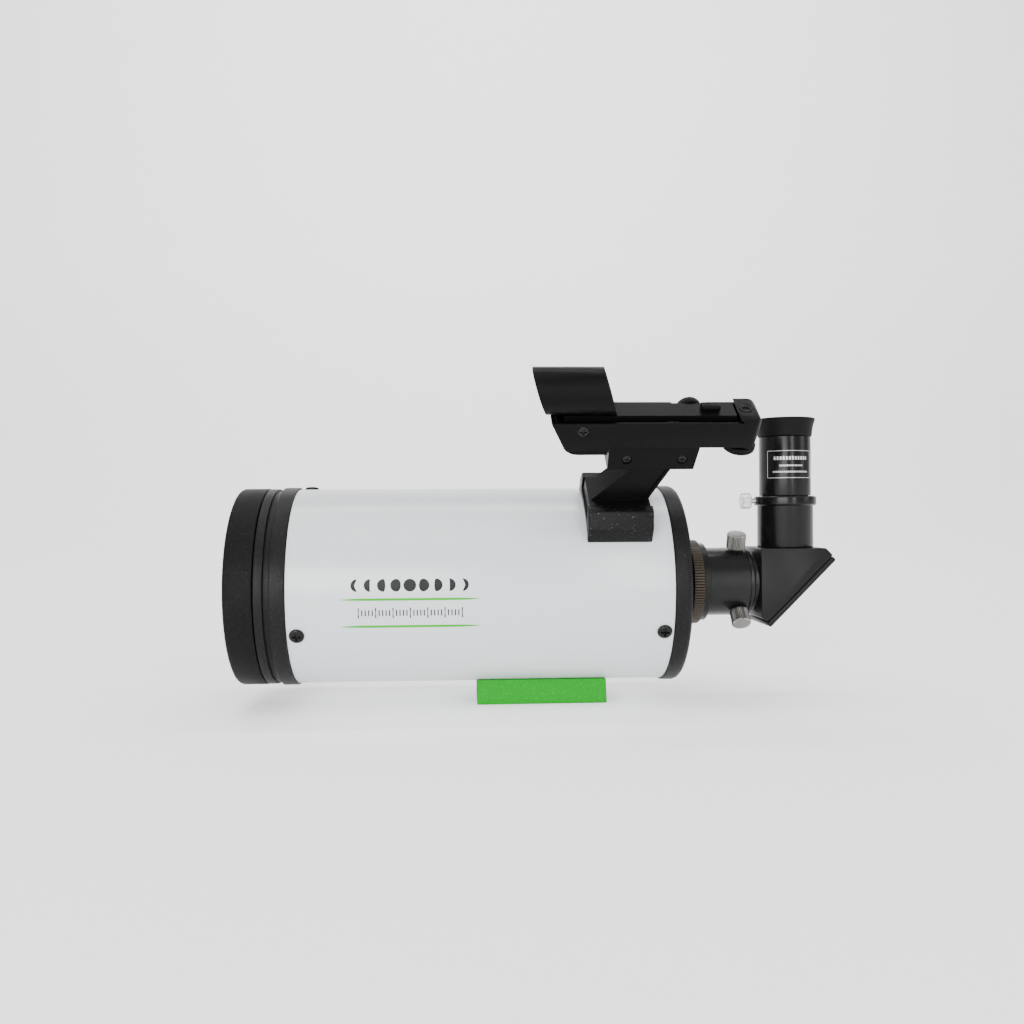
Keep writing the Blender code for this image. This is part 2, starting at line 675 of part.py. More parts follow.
# ---------------------------------------------------------------- tube, cells and dust cap
def build_main_tube():
    part = turned("main_tube", [(TUBE_RADIUS, TUBE_REAR), (TUBE_RADIUS, TUBE_FRONT),
                                (TUBE_BORE, TUBE_FRONT), (TUBE_BORE, TUBE_REAR)],
                  OPTICS, along_x(), ROUND_STEPS, closed=True)
    for x in (TUBE_FRONT + FRONT_SCREW_INSET, TUBE_REAR - REAR_SCREW_INSET):
        for degrees in RING_SCREW_ANGLES:
            hole(part, SCREW_CLEAR, TUBE_BORE - OVERSHOOT, TUBE_RADIUS + OVERSHOOT, OPTICS, outwards(x, degrees))
    for side in (-0.5, 0.5):
        x = side * BAR_SCREW_SPACING
        hole(part, SCREW_CLEAR, TUBE_BORE - OVERSHOOT, TUBE_RADIUS + OVERSHOOT, OPTICS, outwards(x, 180.0))
    for x in shoe_screw_places():
        hole(part, SCREW_CLEAR, TUBE_BORE - OVERSHOOT, TUBE_RADIUS + OVERSHOOT, FINDER, at(x))
    return paint(part, WHITE_PAINT, 0.32)


def build_ring_screws():
    rows = (("front_ring_screw", TUBE_FRONT + FRONT_SCREW_INSET), ("rear_ring_screw", TUBE_REAR - REAR_SCREW_INSET))
    tip = SPIGOT_RADIUS - SPIGOT_WALL + GAP
    for name, x in rows:
        for number, degrees in enumerate(RING_SCREW_ANGLES, start=1):
            part = machine_screw(f"{name}_{number}", OPTICS, outwards(x, degrees), TUBE_RADIUS + GAP, tip,
                                 head=RING_HEAD_RADIUS, height=RING_HEAD_HEIGHT)
            paint(part, BLACK_SATIN, 0.35, 0.6)


def build_front_cell():
    groove = RING_RADIUS - FRONT_GROOVE_DEPTH
    lip = RING_RADIUS - FRONT_LIP_STEP
    profile = [(SPIGOT_RADIUS, CELL_SPIGOT_END), (SPIGOT_RADIUS, TUBE_FRONT - GAP),
               (RING_RADIUS, TUBE_FRONT - GAP), (RING_RADIUS, RING_FRONT), (groove, RING_FRONT),
               (groove, LIP_BACK), (lip, LIP_BACK), (lip, CELL_FRONT), (CORRECTOR_BORE, CELL_FRONT),
               (CORRECTOR_BORE, LEDGE_FRONT),
               (CLEAR_APERTURE, LEDGE_FRONT), (CLEAR_APERTURE, CELL_SPIGOT_END)]
    part = turned("front_cell", profile, OPTICS, along_x(), ROUND_STEPS, closed=True)
    x = TUBE_FRONT + FRONT_SCREW_INSET
    for degrees in RING_SCREW_ANGLES:
        hole(part, SCREW_CLEAR, SPIGOT_RADIUS - SPIGOT_WALL, TUBE_RADIUS + OVERSHOOT, OPTICS, outwards(x, degrees))
    return paint(part, BLACK_MATT, 0.45)


def build_corrector():
    front = bowl(CORRECTOR_RADIUS, CORRECTOR_FRONT_CURVE, CORRECTOR_FRONT, 4)
    rear = bowl(CORRECTOR_RADIUS, CORRECTOR_REAR_CURVE, CORRECTOR_REAR, 4)
    paint(turned("corrector_lens", rear + front[::-1], OPTICS, along_x()), GLASS, 0.02)
    ring = [(CORRECTOR_RADIUS, RETAINER_REAR), (CORRECTOR_RADIUS, RETAINER_REAR - RETAINER_LENGTH),
            (CORRECTOR_RADIUS - RETAINER_WALL, RETAINER_REAR - RETAINER_LENGTH),
            (CORRECTOR_RADIUS - RETAINER_WALL, RETAINER_REAR)]
    paint(turned("corrector_retaining_ring", ring, OPTICS, along_x(), closed=True), BLACK_MATT, 0.5)
    back = LEDGE_FRONT - GAP
    seal = [(CORRECTOR_RADIUS, back), (CORRECTOR_RADIUS, back - GASKET_THICKNESS),
            (CLEAR_APERTURE + GAP, back - GASKET_THICKNESS), (CLEAR_APERTURE + GAP, back)]
    paint(turned("corrector_gasket", seal, OPTICS, along_x(), closed=True), BLACK_MATT, 0.8)


def build_secondary():
    near = bowl(SECONDARY_RADIUS, CORRECTOR_REAR_CURVE, CORRECTOR_REAR + GAP, 2)
    far = bowl(SECONDARY_RADIUS, CORRECTOR_REAR_CURVE, CORRECTOR_REAR + GAP + SECONDARY_THICKNESS, 2)
    paint(turned("secondary_mirror", far + near[::-1], OPTICS, along_x(), MEDIUM_STEPS), MIRROR_COAT, 0.03, 1.0)
    base = CORRECTOR_REAR + GAP
    mouth = base + SECONDARY_BAFFLE_LENGTH
    profile = [(SECONDARY_BAFFLE_MOUTH, mouth), (SECONDARY_BAFFLE_BASE, base),
               (SECONDARY_BAFFLE_BASE - SHEET, base), (SECONDARY_BAFFLE_MOUTH - SHEET, mouth)]
    paint(turned("secondary_baffle", profile, OPTICS, along_x(), MEDIUM_STEPS, closed=True), BLACK_MATT, 0.7)


def build_dust_cap():
    plug = CORRECTOR_BORE - GAP
    inside = CAP_FRONT + CAP_FACE
    corner = arc((CAP_RADIUS - CAP_ROUND, CAP_FRONT + CAP_ROUND), CAP_ROUND, 0.0, -90.0, 2)
    profile = [(0.0, inside), (plug - CAP_WALL, inside), (plug - CAP_WALL, CELL_FRONT + CAP_PLUG_LENGTH),
               (plug, CELL_FRONT + CAP_PLUG_LENGTH), (plug, CAP_BACK), (CAP_RADIUS, CAP_BACK)] + corner
    floor = CAP_FRONT + CAP_DISH
    dish = [(CAP_RADIUS - CAP_BORDER, CAP_FRONT), (CAP_RADIUS - CAP_BORDER - CAP_DISH, floor), (0.0, floor)]
    return paint(turned("dust_cap", profile + dish, OPTICS, along_x()), BLACK_MATT, 0.42)


# ---------------------------------------------------------------- rear cell, mirror and focuser
def build_rear_cell():
    front = TUBE_REAR - REAR_SPIGOT_LENGTH
    inner = SPIGOT_RADIUS - SPIGOT_WALL
    corner = arc((RING_RADIUS - REAR_EDGE_ROUND, PLATE_BACK - REAR_EDGE_ROUND), REAR_EDGE_ROUND, 90.0, 0.0, 3)
    profile = [(PORT_BORE, PORT_END), (PORT_RADIUS, PORT_END), (PORT_RADIUS, BOSS_END),
               (PORT_BOSS_RADIUS, BOSS_END), (PORT_BOSS_RADIUS, PLATE_BACK)] + corner
    profile += [(RING_RADIUS, TUBE_REAR + GAP), (SPIGOT_RADIUS, TUBE_REAR + GAP), (SPIGOT_RADIUS, front),
                (inner, front), (inner, PLATE_FRONT), (PORT_BORE, PLATE_FRONT)]
    part = turned("rear_cell", profile, OPTICS, along_x(), ROUND_STEPS, closed=True)
    x = TUBE_REAR - REAR_SCREW_INSET
    for degrees in RING_SCREW_ANGLES:
        hole(part, SCREW_CLEAR, inner - OVERSHOOT, TUBE_RADIUS + OVERSHOOT, OPTICS, outwards(x, degrees))
    hole(part, FOCUS_BUSH_RADIUS + GAP, PLATE_FRONT - OVERSHOOT, PLATE_BACK + OVERSHOOT,
         OPTICS, along_x(FOCUS_OFFSET), SMALL_STEPS)
    return paint(part, BLACK_MATT, 0.45)


def build_primary_baffle():
    flange = PORT_BORE - GAP
    flange_front = PORT_END - BAFFLE_FLANGE_LENGTH
    cone_front = flange_front - (flange - BAFFLE_RADIUS) / 3
    profile = [(flange, PORT_END - GAP), (flange, flange_front), (BAFFLE_RADIUS, cone_front),
               (BAFFLE_RADIUS, PORT_END - BAFFLE_LENGTH), (BAFFLE_BORE, PORT_END - BAFFLE_LENGTH),
               (BAFFLE_BORE, PORT_END - GAP)]
    return paint(turned("primary_baffle", profile, OPTICS, along_x(), MEDIUM_STEPS, closed=True), BLACK_MATT, 0.7)


def mirror_face(radius):
    """X of the primary mirror's hollow face at a radius."""
    return MIRROR_FRONT - (MIRROR_CURVE - math.sqrt(MIRROR_CURVE ** 2 - radius ** 2))


def build_primary():
    bore = SLEEVE_RADIUS + GAP
    face = [bore + (MIRROR_RADIUS - bore) * step / 3 for step in range(4)]
    profile = [(MIRROR_RADIUS, MIRROR_BACK)] + [(r, mirror_face(r)) for r in reversed(face)] + [(bore, MIRROR_BACK)]
    paint(turned("primary_mirror", profile, OPTICS, along_x(), closed=True), MIRROR_COAT, 0.03, 1.0)

    ring_back = mirror_face(bore + RETAINING_RING_WIDTH) - GAP
    ring_front = ring_back - RETAINING_RING_LENGTH
    ring = [(bore + RETAINING_RING_WIDTH, ring_back), (bore + RETAINING_RING_WIDTH, ring_front),
            (bore, ring_front), (bore, ring_back)]
    paint(turned("mirror_retaining_ring", ring, OPTICS, along_x(), MEDIUM_STEPS, closed=True), SILVER, 0.35, 0.9)

    profile = [(SLEEVE_RADIUS, CARRIER_BACK + CARRIER_TAIL), (SLEEVE_RADIUS, CARRIER_BACK),
               (CARRIER_RADIUS, CARRIER_BACK), (CARRIER_RADIUS, CARRIER_FRONT), (SLEEVE_RADIUS, CARRIER_FRONT),
               (SLEEVE_RADIUS, ring_front - GAP), (SLEEVE_BORE, ring_front - GAP),
               (SLEEVE_BORE, CARRIER_BACK + CARRIER_TAIL)]
    carrier = turned("mirror_carrier", profile, OPTICS, along_x(), MEDIUM_STEPS, closed=True)
    middle = CARRIER_FRONT + CARRIER_PLATE / 2
    join(carrier, rod("focus_nut", FOCUS_NUT_RADIUS, middle, CARRIER_BACK + FOCUS_NUT_LENGTH,
                      OPTICS, along_x(FOCUS_OFFSET), SMALL_STEPS))
    hole(carrier, FOCUS_SHAFT_RADIUS + GAP, CARRIER_FRONT - OVERSHOOT, CARRIER_BACK + FOCUS_NUT_LENGTH + OVERSHOOT,
         OPTICS, along_x(FOCUS_OFFSET), TINY_STEPS)
    return paint(carrier, SILVER, 0.4, 0.9)


def build_focuser():
    place = along_x(FOCUS_OFFSET)
    bush_front = PLATE_FRONT - FOCUS_BUSH_INSIDE
    bush_back = PLATE_BACK + GAP + FOCUS_BUSH_OUTSIDE
    bore = FOCUS_SHAFT_RADIUS + GAP
    profile = [(FOCUS_BUSH_FLANGE, bush_back), (FOCUS_BUSH_FLANGE, PLATE_BACK + GAP),
               (FOCUS_BUSH_RADIUS, PLATE_BACK + GAP), (FOCUS_BUSH_RADIUS, bush_front),
               (bore, bush_front), (bore, bush_back)]
    paint(turned("focus_bush", profile, OPTICS, place, SMALL_STEPS, closed=True), SILVER, 0.35, 0.9)

    knob_front = bush_back + FOCUS_KNOB_LIFT
    knob_back = knob_front + FOCUS_KNOB_LENGTH
    socket_end = knob_front + FOCUS_KNOB_LENGTH * FOCUS_SOCKET
    soft = FOCUS_KNOB_ROUND
    knob = [(0.0, knob_back), (FOCUS_KNOB_RADIUS - soft, knob_back), (FOCUS_KNOB_RADIUS, knob_back - soft),
            (FOCUS_KNOB_RADIUS, knob_front + soft), (FOCUS_KNOB_RADIUS - soft, knob_front),
            (FOCUS_SHAFT_RADIUS + GAP, knob_front), (FOCUS_SHAFT_RADIUS + GAP, socket_end), (0.0, socket_end)]
    paint(turned("focus_knob", knob, OPTICS, place, SMALL_STEPS), BLACK_MATT, 0.6)

    tip = CARRIER_FRONT + FOCUS_TIP_INSET
    collar = FOCUS_SHAFT_RADIUS + FOCUS_COLLAR_STEP
    collar_back = bush_front - GAP
    collar_front = collar_back - FOCUS_COLLAR_LENGTH
    shaft = [(0.0, socket_end - GAP), (FOCUS_SHAFT_RADIUS, socket_end - GAP), (FOCUS_SHAFT_RADIUS, collar_back),
             (collar, collar_back), (collar, collar_front), (FOCUS_SHAFT_RADIUS, collar_front),
             (FOCUS_SHAFT_RADIUS, tip), (0.0, tip)]
    paint(turned("focus_shaft", shaft, OPTICS, place, TINY_STEPS), SILVER, 0.3, 1.0)


# ---------------------------------------------------------------- mounting bar
def build_dovetail_bar():
    saddle = TUBE_RADIUS + GAP
    run = (AXIS_HEIGHT - BAR_EDGE) * math.tan(BAR_SLOPE)
    half = BAR_WIDTH / 2
    side = half
    for _ in range(4):
        side = half - (AXIS_HEIGHT - math.sqrt(saddle ** 2 - side ** 2) - BAR_EDGE) / (AXIS_HEIGHT - BAR_EDGE) * run
    spread = math.degrees(math.asin(side / saddle))
    top = arc((0.0, AXIS_HEIGHT), saddle, -90.0 + spread, -90.0 - spread, 8)
    outline = [(-half, 0.0), (half, 0.0), (half, BAR_EDGE)] + top + [(-half, BAR_EDGE)]
    part = plate("dovetail_bar", outline, -BAR_LENGTH / 2, BAR_LENGTH / 2, None, CROSS_SECTION)
    bevel(part, BAR_ROUND, 1, 50.0)
    for place in (-0.5, 0.5):
        x = place * BAR_SCREW_SPACING
        hole(part, SCREW_HEAD_RADIUS + GAP, -OVERSHOOT, BAR_SCREW_SINK, None, at(x), SMALL_STEPS)
        hole(part, SCREW_CLEAR, -OVERSHOOT, BAR_DEPTH + OVERSHOOT, None, at(x))
    return paint(part, GREEN_PAINT, 0.42)


def build_dovetail_screws():
    tip = TUBE_BORE - SCREW_SUNK_TIP
    for number, place in enumerate((-0.5, 0.5), start=1):
        part = machine_screw(f"dovetail_screw_{number}", OPTICS, outwards(place * BAR_SCREW_SPACING, 180.0),
                             AXIS_HEIGHT - BAR_SCREW_SINK + GAP, tip)
        paint(part, SILVER, 0.35, 1.0)


# ---------------------------------------------------------------- coupling ring and visual back
def build_coupling_ring():
    bore = BACK_FLANGE_RADIUS + GAP
    lip = BACK_RADIUS + GAP
    lip_front = COUPLING_END - COUPLING_LIP
    soft = KNURL_ROUND
    profile = [(COUPLING_NECK_RADIUS, COUPLING_END), (COUPLING_NECK_RADIUS, COUPLING_STEP),
               (KNURL_RADIUS - soft, COUPLING_STEP), (KNURL_RADIUS, COUPLING_STEP - soft),
               (KNURL_RADIUS, COUPLING_FRONT), (bore, COUPLING_FRONT), (bore, lip_front),
               (lip, lip_front), (lip, COUPLING_END)]
    return paint(turned("coupling_ring", profile, OPTICS, along_x(), MEDIUM_STEPS, closed=True), CHARCOAL, 0.5, 0.3)


def build_visual_back():
    flange_end = min(BACK_FRONT + BACK_FLANGE_LENGTH, COUPLING_END - COUPLING_LIP - GAP)
    groove = BACK_RADIUS - BACK_END_GROOVE
    band = BACK_END - BACK_END_BAND
    profile = [(BACK_RADIUS - BACK_END_GROOVE, BACK_END), (BACK_RADIUS, BACK_END - BACK_END_GROOVE),
               (BACK_RADIUS, band), (groove, band), (groove, band - BACK_END_GROOVE),
               (BACK_RADIUS, band - BACK_END_GROOVE), (BACK_RADIUS, flange_end),
               (BACK_FLANGE_RADIUS, flange_end), (BACK_FLANGE_RADIUS, BACK_FRONT),
               (SOCKET_RADIUS, BACK_FRONT), (SOCKET_RADIUS, BACK_END)]
    part = turned("visual_back", profile, OPTICS, along_x(), MEDIUM_STEPS, closed=True)
    for degrees in BACK_SCREW_ANGLES:
        hole(part, THUMB_SHANK_RADIUS + RUNNING_GAP, SOCKET_RADIUS - OVERSHOOT, BACK_RADIUS + OVERSHOOT,
             OPTICS, outwards(BACK_SCREW_X, degrees))
    paint(part, BLACK_SATIN, 0.4, 0.2)
    for number, degrees in enumerate(BACK_SCREW_ANGLES, start=1):
        screw = thumb_screw(f"visual_back_screw_{number}", OPTICS, outwards(BACK_SCREW_X, degrees),
                            BACK_RADIUS + THUMB_LIFT, THUMB_LENGTH, THUMB_RADIUS,
                            BARREL_RADIUS + GAP, THUMB_SHANK_RADIUS)
        paint(screw, SILVER, 0.35, 1.0)


# ---------------------------------------------------------------- star diagonal
def slanted(x_from_axis, offset):
    """Height of the slanted side, a set distance behind the mirror's surface."""
    return x_from_axis - offset * math.sqrt(2.0)


def build_diagonal_housing():
    slant_top = HOUSING_TOP_RUN + HOUSING_TOP_CHAMFER
    slant_low = -HOUSING_FRONT_REACH + HOUSING_LOW_CHAMFER
    outline = [(HOUSING_FRONT, -HOUSING_TOP), (HOUSING_FRONT, HOUSING_TOP), (EYEPIECE_X + HOUSING_TOP_RUN, HOUSING_TOP),
               (EYEPIECE_X + slant_top, slanted(slant_top, HOUSING_BACK)),
               (EYEPIECE_X + slant_low, slanted(slant_low, HOUSING_BACK))]
    part = plate("diagonal_housing", outline, -HOUSING_HALF_WIDTH, HOUSING_HALF_WIDTH, OPTICS, FLAT_SIDE)
    bevel(part, HOUSING_ROUND, 2)

    inner = HOUSING_HALF_WIDTH - HOUSING_WALL
    front = HOUSING_FRONT + HOUSING_WALL
    top = HOUSING_TOP - HOUSING_WALL
    far = HOUSING_TOP_RUN + OVERSHOOT
    past = HOUSING_BACK + 2 * OVERSHOOT
    low = -HOUSING_FRONT_REACH + HOUSING_WALL
    cavity = [(front, slanted(low, past)), (front, top), (EYEPIECE_X + HOUSING_TOP_RUN - HOUSING_WALL, top),
              (EYEPIECE_X + far, top - HOUSING_TOP_CHAMFER), (EYEPIECE_X + far, slanted(far, past))]
    cut(part, plate("diagonal_cavity", cavity, -inner, inner, OPTICS, FLAT_SIDE))
    hole(part, NOSE_THREAD_RADIUS + GAP, HOUSING_FRONT - OVERSHOOT, front + OVERSHOOT,
         OPTICS, along_x(), MEDIUM_STEPS)
    hole(part, HOLDER_SPIGOT_RADIUS + GAP, top - OVERSHOOT, HOUSING_TOP + OVERSHOOT,
         OPTICS, at(EYEPIECE_X), MEDIUM_STEPS)
    return paint(part, BLACK_MATT, 0.5)


def build_diagonal_inside():
    tilt = at(EYEPIECE_X) @ Matrix.Rotation(math.radians(-45), 4, 'Y')
    half = MIRROR_PLATE_LENGTH / 2
    wide = MIRROR_PLATE_HALF_WIDTH
    mirror = box("diagonal_mirror", (-half, -wide, -MIRROR_PLATE_THICKNESS), (half, wide, 0.0), OPTICS, tilt)
    paint(mirror, MIRROR_COAT, 0.03, 1.0)
    near = -(HOUSING_BACK + GAP)
    far = near - COVER_THICKNESS
    reach = COVER_LENGTH / 2
    cover = box("diagonal_cover", (COVER_SHIFT - reach, -HOUSING_HALF_WIDTH, far),
                (COVER_SHIFT + reach, HOUSING_HALF_WIDTH, near), OPTICS, tilt)
    bevel(cover, COVER_ROUND, 2)
    paint(cover, BLACK_MATT, 0.45)


def build_diagonal_nose():
    shoulder_back = HOUSING_FRONT - GAP
    shoulder_front = shoulder_back - NOSE_SHOULDER_LENGTH
    nose_front = shoulder_front - NOSE_LENGTH
    thread_end = HOUSING_FRONT + HOUSING_WALL
    lead = NOSE_LEAD
    profile = [(NOSE_THREAD_RADIUS, thread_end), (NOSE_THREAD_RADIUS, shoulder_back),
               (NOSE_SHOULDER_RADIUS, shoulder_back), (NOSE_SHOULDER_RADIUS, shoulder_front),
               (BARREL_RADIUS, shoulder_front), (BARREL_RADIUS, nose_front + lead),
               (BARREL_RADIUS - lead, nose_front), (NOSE_BORE, nose_front), (NOSE_BORE, thread_end)]
    return paint(turned("diagonal_nose", profile, OPTICS, along_x(), MEDIUM_STEPS, closed=True), SILVER, 0.25, 1.0)


def build_eyepiece_holder():
    soft = COLLAR_ROUND
    profile = [(COLLAR_RADIUS - soft, HOLDER_TOP), (COLLAR_RADIUS, HOLDER_TOP - soft),
               (COLLAR_RADIUS, COLLAR_BASE + soft), (COLLAR_RADIUS - soft, COLLAR_BASE),
               (HOLDER_RADIUS, COLLAR_BASE), (HOLDER_RADIUS, HOLDER_BASE), (HOLDER_SPIGOT_RADIUS, HOLDER_BASE),
               (HOLDER_SPIGOT_RADIUS, HOUSING_TOP - HOUSING_WALL), (SOCKET_RADIUS, HOUSING_TOP - HOUSING_WALL),
               (SOCKET_RADIUS, HOLDER_TOP)]
    part = turned("eyepiece_holder", profile, OPTICS, at(EYEPIECE_X), MEDIUM_STEPS, closed=True)
    sideways = at(EYEPIECE_X, 0.0, LOCK_HEIGHT) @ Matrix.Rotation(math.radians(-90), 4, 'Y')
    hole(part, LOCK_SHANK_RADIUS + RUNNING_GAP, SOCKET_RADIUS - OVERSHOOT, COLLAR_RADIUS + OVERSHOOT,
         OPTICS, sideways)
    paint(part, BLACK_SATIN, 0.35, 0.2)
    screw = thumb_screw("eyepiece_lock_screw", OPTICS, sideways, COLLAR_RADIUS + LOCK_REACH, LOCK_HEAD_LENGTH,
                        LOCK_HEAD_RADIUS, BARREL_RADIUS + GAP, LOCK_SHANK_RADIUS)
    paint(screw, BRIGHT_SILVER, 0.35, 0.8)


# ---------------------------------------------------------------- eyepiece
def build_eyepiece():
    place = at(EYEPIECE_X)
    inner = EYEPIECE_THREAD_RADIUS + GAP
    thread_top = BODY_BASE + EYEPIECE_THREAD_LENGTH
    barrel_low = BODY_BASE - EYEPIECE_BARREL_LENGTH
    bore = EYEPIECE_THREAD_RADIUS - EYEPIECE_WALL
    barrel = [(EYEPIECE_THREAD_RADIUS, thread_top), (EYEPIECE_THREAD_RADIUS, BODY_BASE - GAP),
              (BARREL_RADIUS, BODY_BASE - GAP), (BARREL_RADIUS, barrel_low), (bore, barrel_low), (bore, thread_top)]
    paint(turned("eyepiece_barrel", barrel, OPTICS, place, MEDIUM_STEPS, closed=True), SILVER, 0.15, 1.0)

    neck_top = BODY_TOP + NECK_LENGTH
    lip_base = neck_top - LENS_SEAT
    body = [(NECK_RADIUS, neck_top), (NECK_RADIUS, BODY_TOP), (EYEPIECE_RADIUS, BODY_TOP),
            (EYEPIECE_RADIUS, BODY_BASE), (inner, BODY_BASE), (inner, BODY_TOP - EYEPIECE_WALL),
            (EYE_LENS_RADIUS + GAP, BODY_TOP - EYEPIECE_WALL), (EYE_LENS_RADIUS + GAP, lip_base),
            (EYE_APERTURE, lip_base), (EYE_APERTURE, neck_top)]
    paint(turned("eyepiece_body", body, OPTICS, place, MEDIUM_STEPS, closed=True), BLACK_SATIN, 0.35, 0.3)

    lens_top = lip_base - GAP
    lens_low = lens_top - EYE_LENS_THICKNESS
    upper = bowl(EYE_LENS_RADIUS, EYE_LENS_TOP_CURVE, lens_top, 3)
    lens_edge = bowl(EYE_LENS_RADIUS, EYE_LENS_CURVE, lens_low, 3, sign=1.0)
    paint(turned("eye_lens", upper + lens_edge[::-1], OPTICS, place, MEDIUM_STEPS), GLASS, 0.02)

    field_low = thread_top + GAP
    field_top = field_low + FIELD_LENS_THICKNESS
    field = bowl(FIELD_LENS_RADIUS, FIELD_CURVE, field_top, 3)
    paint(turned("field_lens", field + [(FIELD_LENS_RADIUS, field_low), (0.0, field_low)],
                 OPTICS, place, MEDIUM_STEPS), GLASS, 0.02)

    spacer_bore = EYE_LENS_RADIUS - SPACER_SHOULDER
    spacer_low = field_top - (FIELD_CURVE - math.sqrt(FIELD_CURVE ** 2 - spacer_bore ** 2)) + GAP
    spacer_top = lens_low + (EYE_LENS_CURVE - math.sqrt(EYE_LENS_CURVE ** 2 - EYE_LENS_RADIUS ** 2)) - 2 * GAP
    spacer_top = min(spacer_top, BODY_TOP - EYEPIECE_WALL - GAP)
    spacer = [(EYEPIECE_THREAD_RADIUS, spacer_top), (EYEPIECE_THREAD_RADIUS, spacer_low + SPACER_LEAD),
              (FIELD_LENS_RADIUS, spacer_low), (spacer_bore, spacer_low), (spacer_bore, spacer_top)]
    paint(turned("lens_spacer", spacer, OPTICS, place, MEDIUM_STEPS, closed=True), BLACK_MATT, 0.7)

    low = BODY_TOP + GAP
    top = low + CUP_LENGTH
    grip = NECK_RADIUS + GAP
    shelf = neck_top + GAP
    cup = [(CUP_RIM_RADIUS - CUP_LIP / 2, top), (CUP_RIM_RADIUS, top - CUP_LIP / 2),
           (CUP_RADIUS + CUP_WAIST_FLARE, low + CUP_LENGTH * CUP_WAIST),
           (CUP_RADIUS + CUP_BAND_FLARE, low + CUP_LENGTH * CUP_BAND),
           (CUP_RADIUS, low), (grip, low), (grip, shelf), (EYE_APERTURE + CUP_WELL_STEP, shelf),
           (EYE_APERTURE + CUP_WELL_RIM, shelf + CUP_WELL_RISE), (grip + GAP, shelf + CUP_WELL_WALL),
           (CUP_RIM_RADIUS - CUP_LIP, top)]
    return paint(turned("eyecup", cup, OPTICS, place, MEDIUM_STEPS, closed=True), BLACK_MATT, 0.7)


# ---------------------------------------------------------------- finder: shoe, foot and clamp
def shoe_screw_places():
    middle = SHOE_FRONT + SHOE_LENGTH / 2
    return (middle - SHOE_SCREW_SPACING / 2, middle + SHOE_SCREW_SPACING / 2)


def dovetail_outline(top, depth, top_half, slope, grow=0.0, over=0.0):
    """A dovetail, narrow at its top: grow adds air all round and over runs past the top."""
    widen = math.tan(slope)
    low_half = top_half + depth * widen
    base = top - depth - grow
    half_low = low_half + grow
    half_top = top_half + grow - over * widen
    return [(-half_low, base), (half_low, base), (half_top, top + over), (-half_top, top + over)]


def build_finder_shoe():
    saddle = TUBE_RADIUS + GAP
    spread = math.degrees(math.asin(SHOE_FOOT_HALF_WIDTH / saddle))
    under = arc((0.0, 0.0), saddle, 90.0 + spread, 90.0 - spread, 8)
    outline = [(SHOE_FLARE_HALF_WIDTH, SHOE_FLARE_HEIGHT), (SHOE_TOP_HALF_WIDTH, SHOE_TOP),
               (-SHOE_TOP_HALF_WIDTH, SHOE_TOP), (-SHOE_FLARE_HALF_WIDTH, SHOE_FLARE_HEIGHT)] + under
    part = plate("finder_shoe", outline, SHOE_FRONT, SHOE_FRONT + SHOE_LENGTH, FINDER, CROSS_SECTION)
    bevel(part, SHOE_ROUND, 2, 20.0)
    slot = dovetail_outline(SHOE_TOP, FOOT_DEPTH, FOOT_TOP_HALF_WIDTH, FOOT_SLOPE, GAP, OVERSHOOT)
    cut(part, plate("shoe_slot", slot, SHOE_FRONT - OVERSHOOT, SHOE_FRONT + SHOE_LENGTH + OVERSHOOT,
                    FINDER, CROSS_SECTION))
    floor = SHOE_TOP - FOOT_DEPTH - GAP
    for x in shoe_screw_places():
        hole(part, SCREW_CLEAR, TUBE_BORE, floor + OVERSHOOT, FINDER, at(x))
        hole(part, SCREW_HEAD_RADIUS + GAP, floor - SCREW_HEAD_HEIGHT - GAP, floor + OVERSHOOT,
             FINDER, at(x), SMALL_STEPS)
    across = lock_place()
    hole(part, LOCK_SHANK_RADIUS + RUNNING_GAP, FOOT_TOP_HALF_WIDTH, SHOE_FLARE_HALF_WIDTH + OVERSHOOT,
         FINDER, across)
    return paint(part, BLACK_MATT, 0.6)


def lock_place():
    """A frame at the shoe's lock screw, its Z pointing away to the +Y side."""
    return at(SHOE_LOCK_X, 0.0, SHOE_LOCK_HEIGHT) @ Matrix.Rotation(math.radians(-90), 4, 'X')


def build_shoe_screws():
    floor = SHOE_TOP - FOOT_DEPTH - GAP
    seat = floor - SCREW_HEAD_HEIGHT
    for number, x in enumerate(shoe_screw_places(), start=1):
        part = machine_screw(f"finder_shoe_screw_{number}", FINDER, at(x), seat, TUBE_BORE - SCREW_SUNK_TIP,
                             height=SCREW_HEAD_HEIGHT - GAP)
        paint(part, BLACK_SATIN, 0.35, 0.6)
    reach = FOOT_TOP_HALF_WIDTH + (SHOE_TOP - SHOE_LOCK_HEIGHT + LOCK_SHANK_RADIUS) * math.tan(FOOT_SLOPE)
    screw = thumb_screw("finder_lock_screw", FINDER, lock_place(), SHOE_FLARE_HALF_WIDTH + LOCK_REACH,
                        LOCK_HEAD_LENGTH, SHOE_LOCK_HEAD_RADIUS, reach + 2 * GAP, LOCK_SHANK_RADIUS)
    paint(screw, BRIGHT_SILVER, 0.35, 0.8)


def rail_outline(grow=0.0, over=0.0):
    """The rail under the finder's base, narrow where it meets the base."""
    slope = math.atan((RAIL_FOOT_HALF_WIDTH - RAIL_NECK_HALF_WIDTH) / RAIL_DEPTH)
    return dovetail_outline(BASE_UNDERSIDE, RAIL_DEPTH, RAIL_NECK_HALF_WIDTH, slope, grow, over)


def clamp_outline():
    rear = CLAMP_FRONT + CLAMP_LENGTH
    top = BASE_UNDERSIDE - GAP
    return [(CLAMP_FRONT, CLAMP_LOW), (rear - CLAMP_REAR_SLANT, CLAMP_LOW), (rear, top), (CLAMP_FRONT, top)]


def clamp_screw_places():
    first = CLAMP_FRONT + CLAMP_SCREW_INSET
    return (first, first + CLAMP_SCREW_SPACING)


def clamp_screw_frame(x):
    return at(x, 0.0, CLAMP_LOW + CLAMP_SCREW_HEIGHT) @ FLAT_SIDE


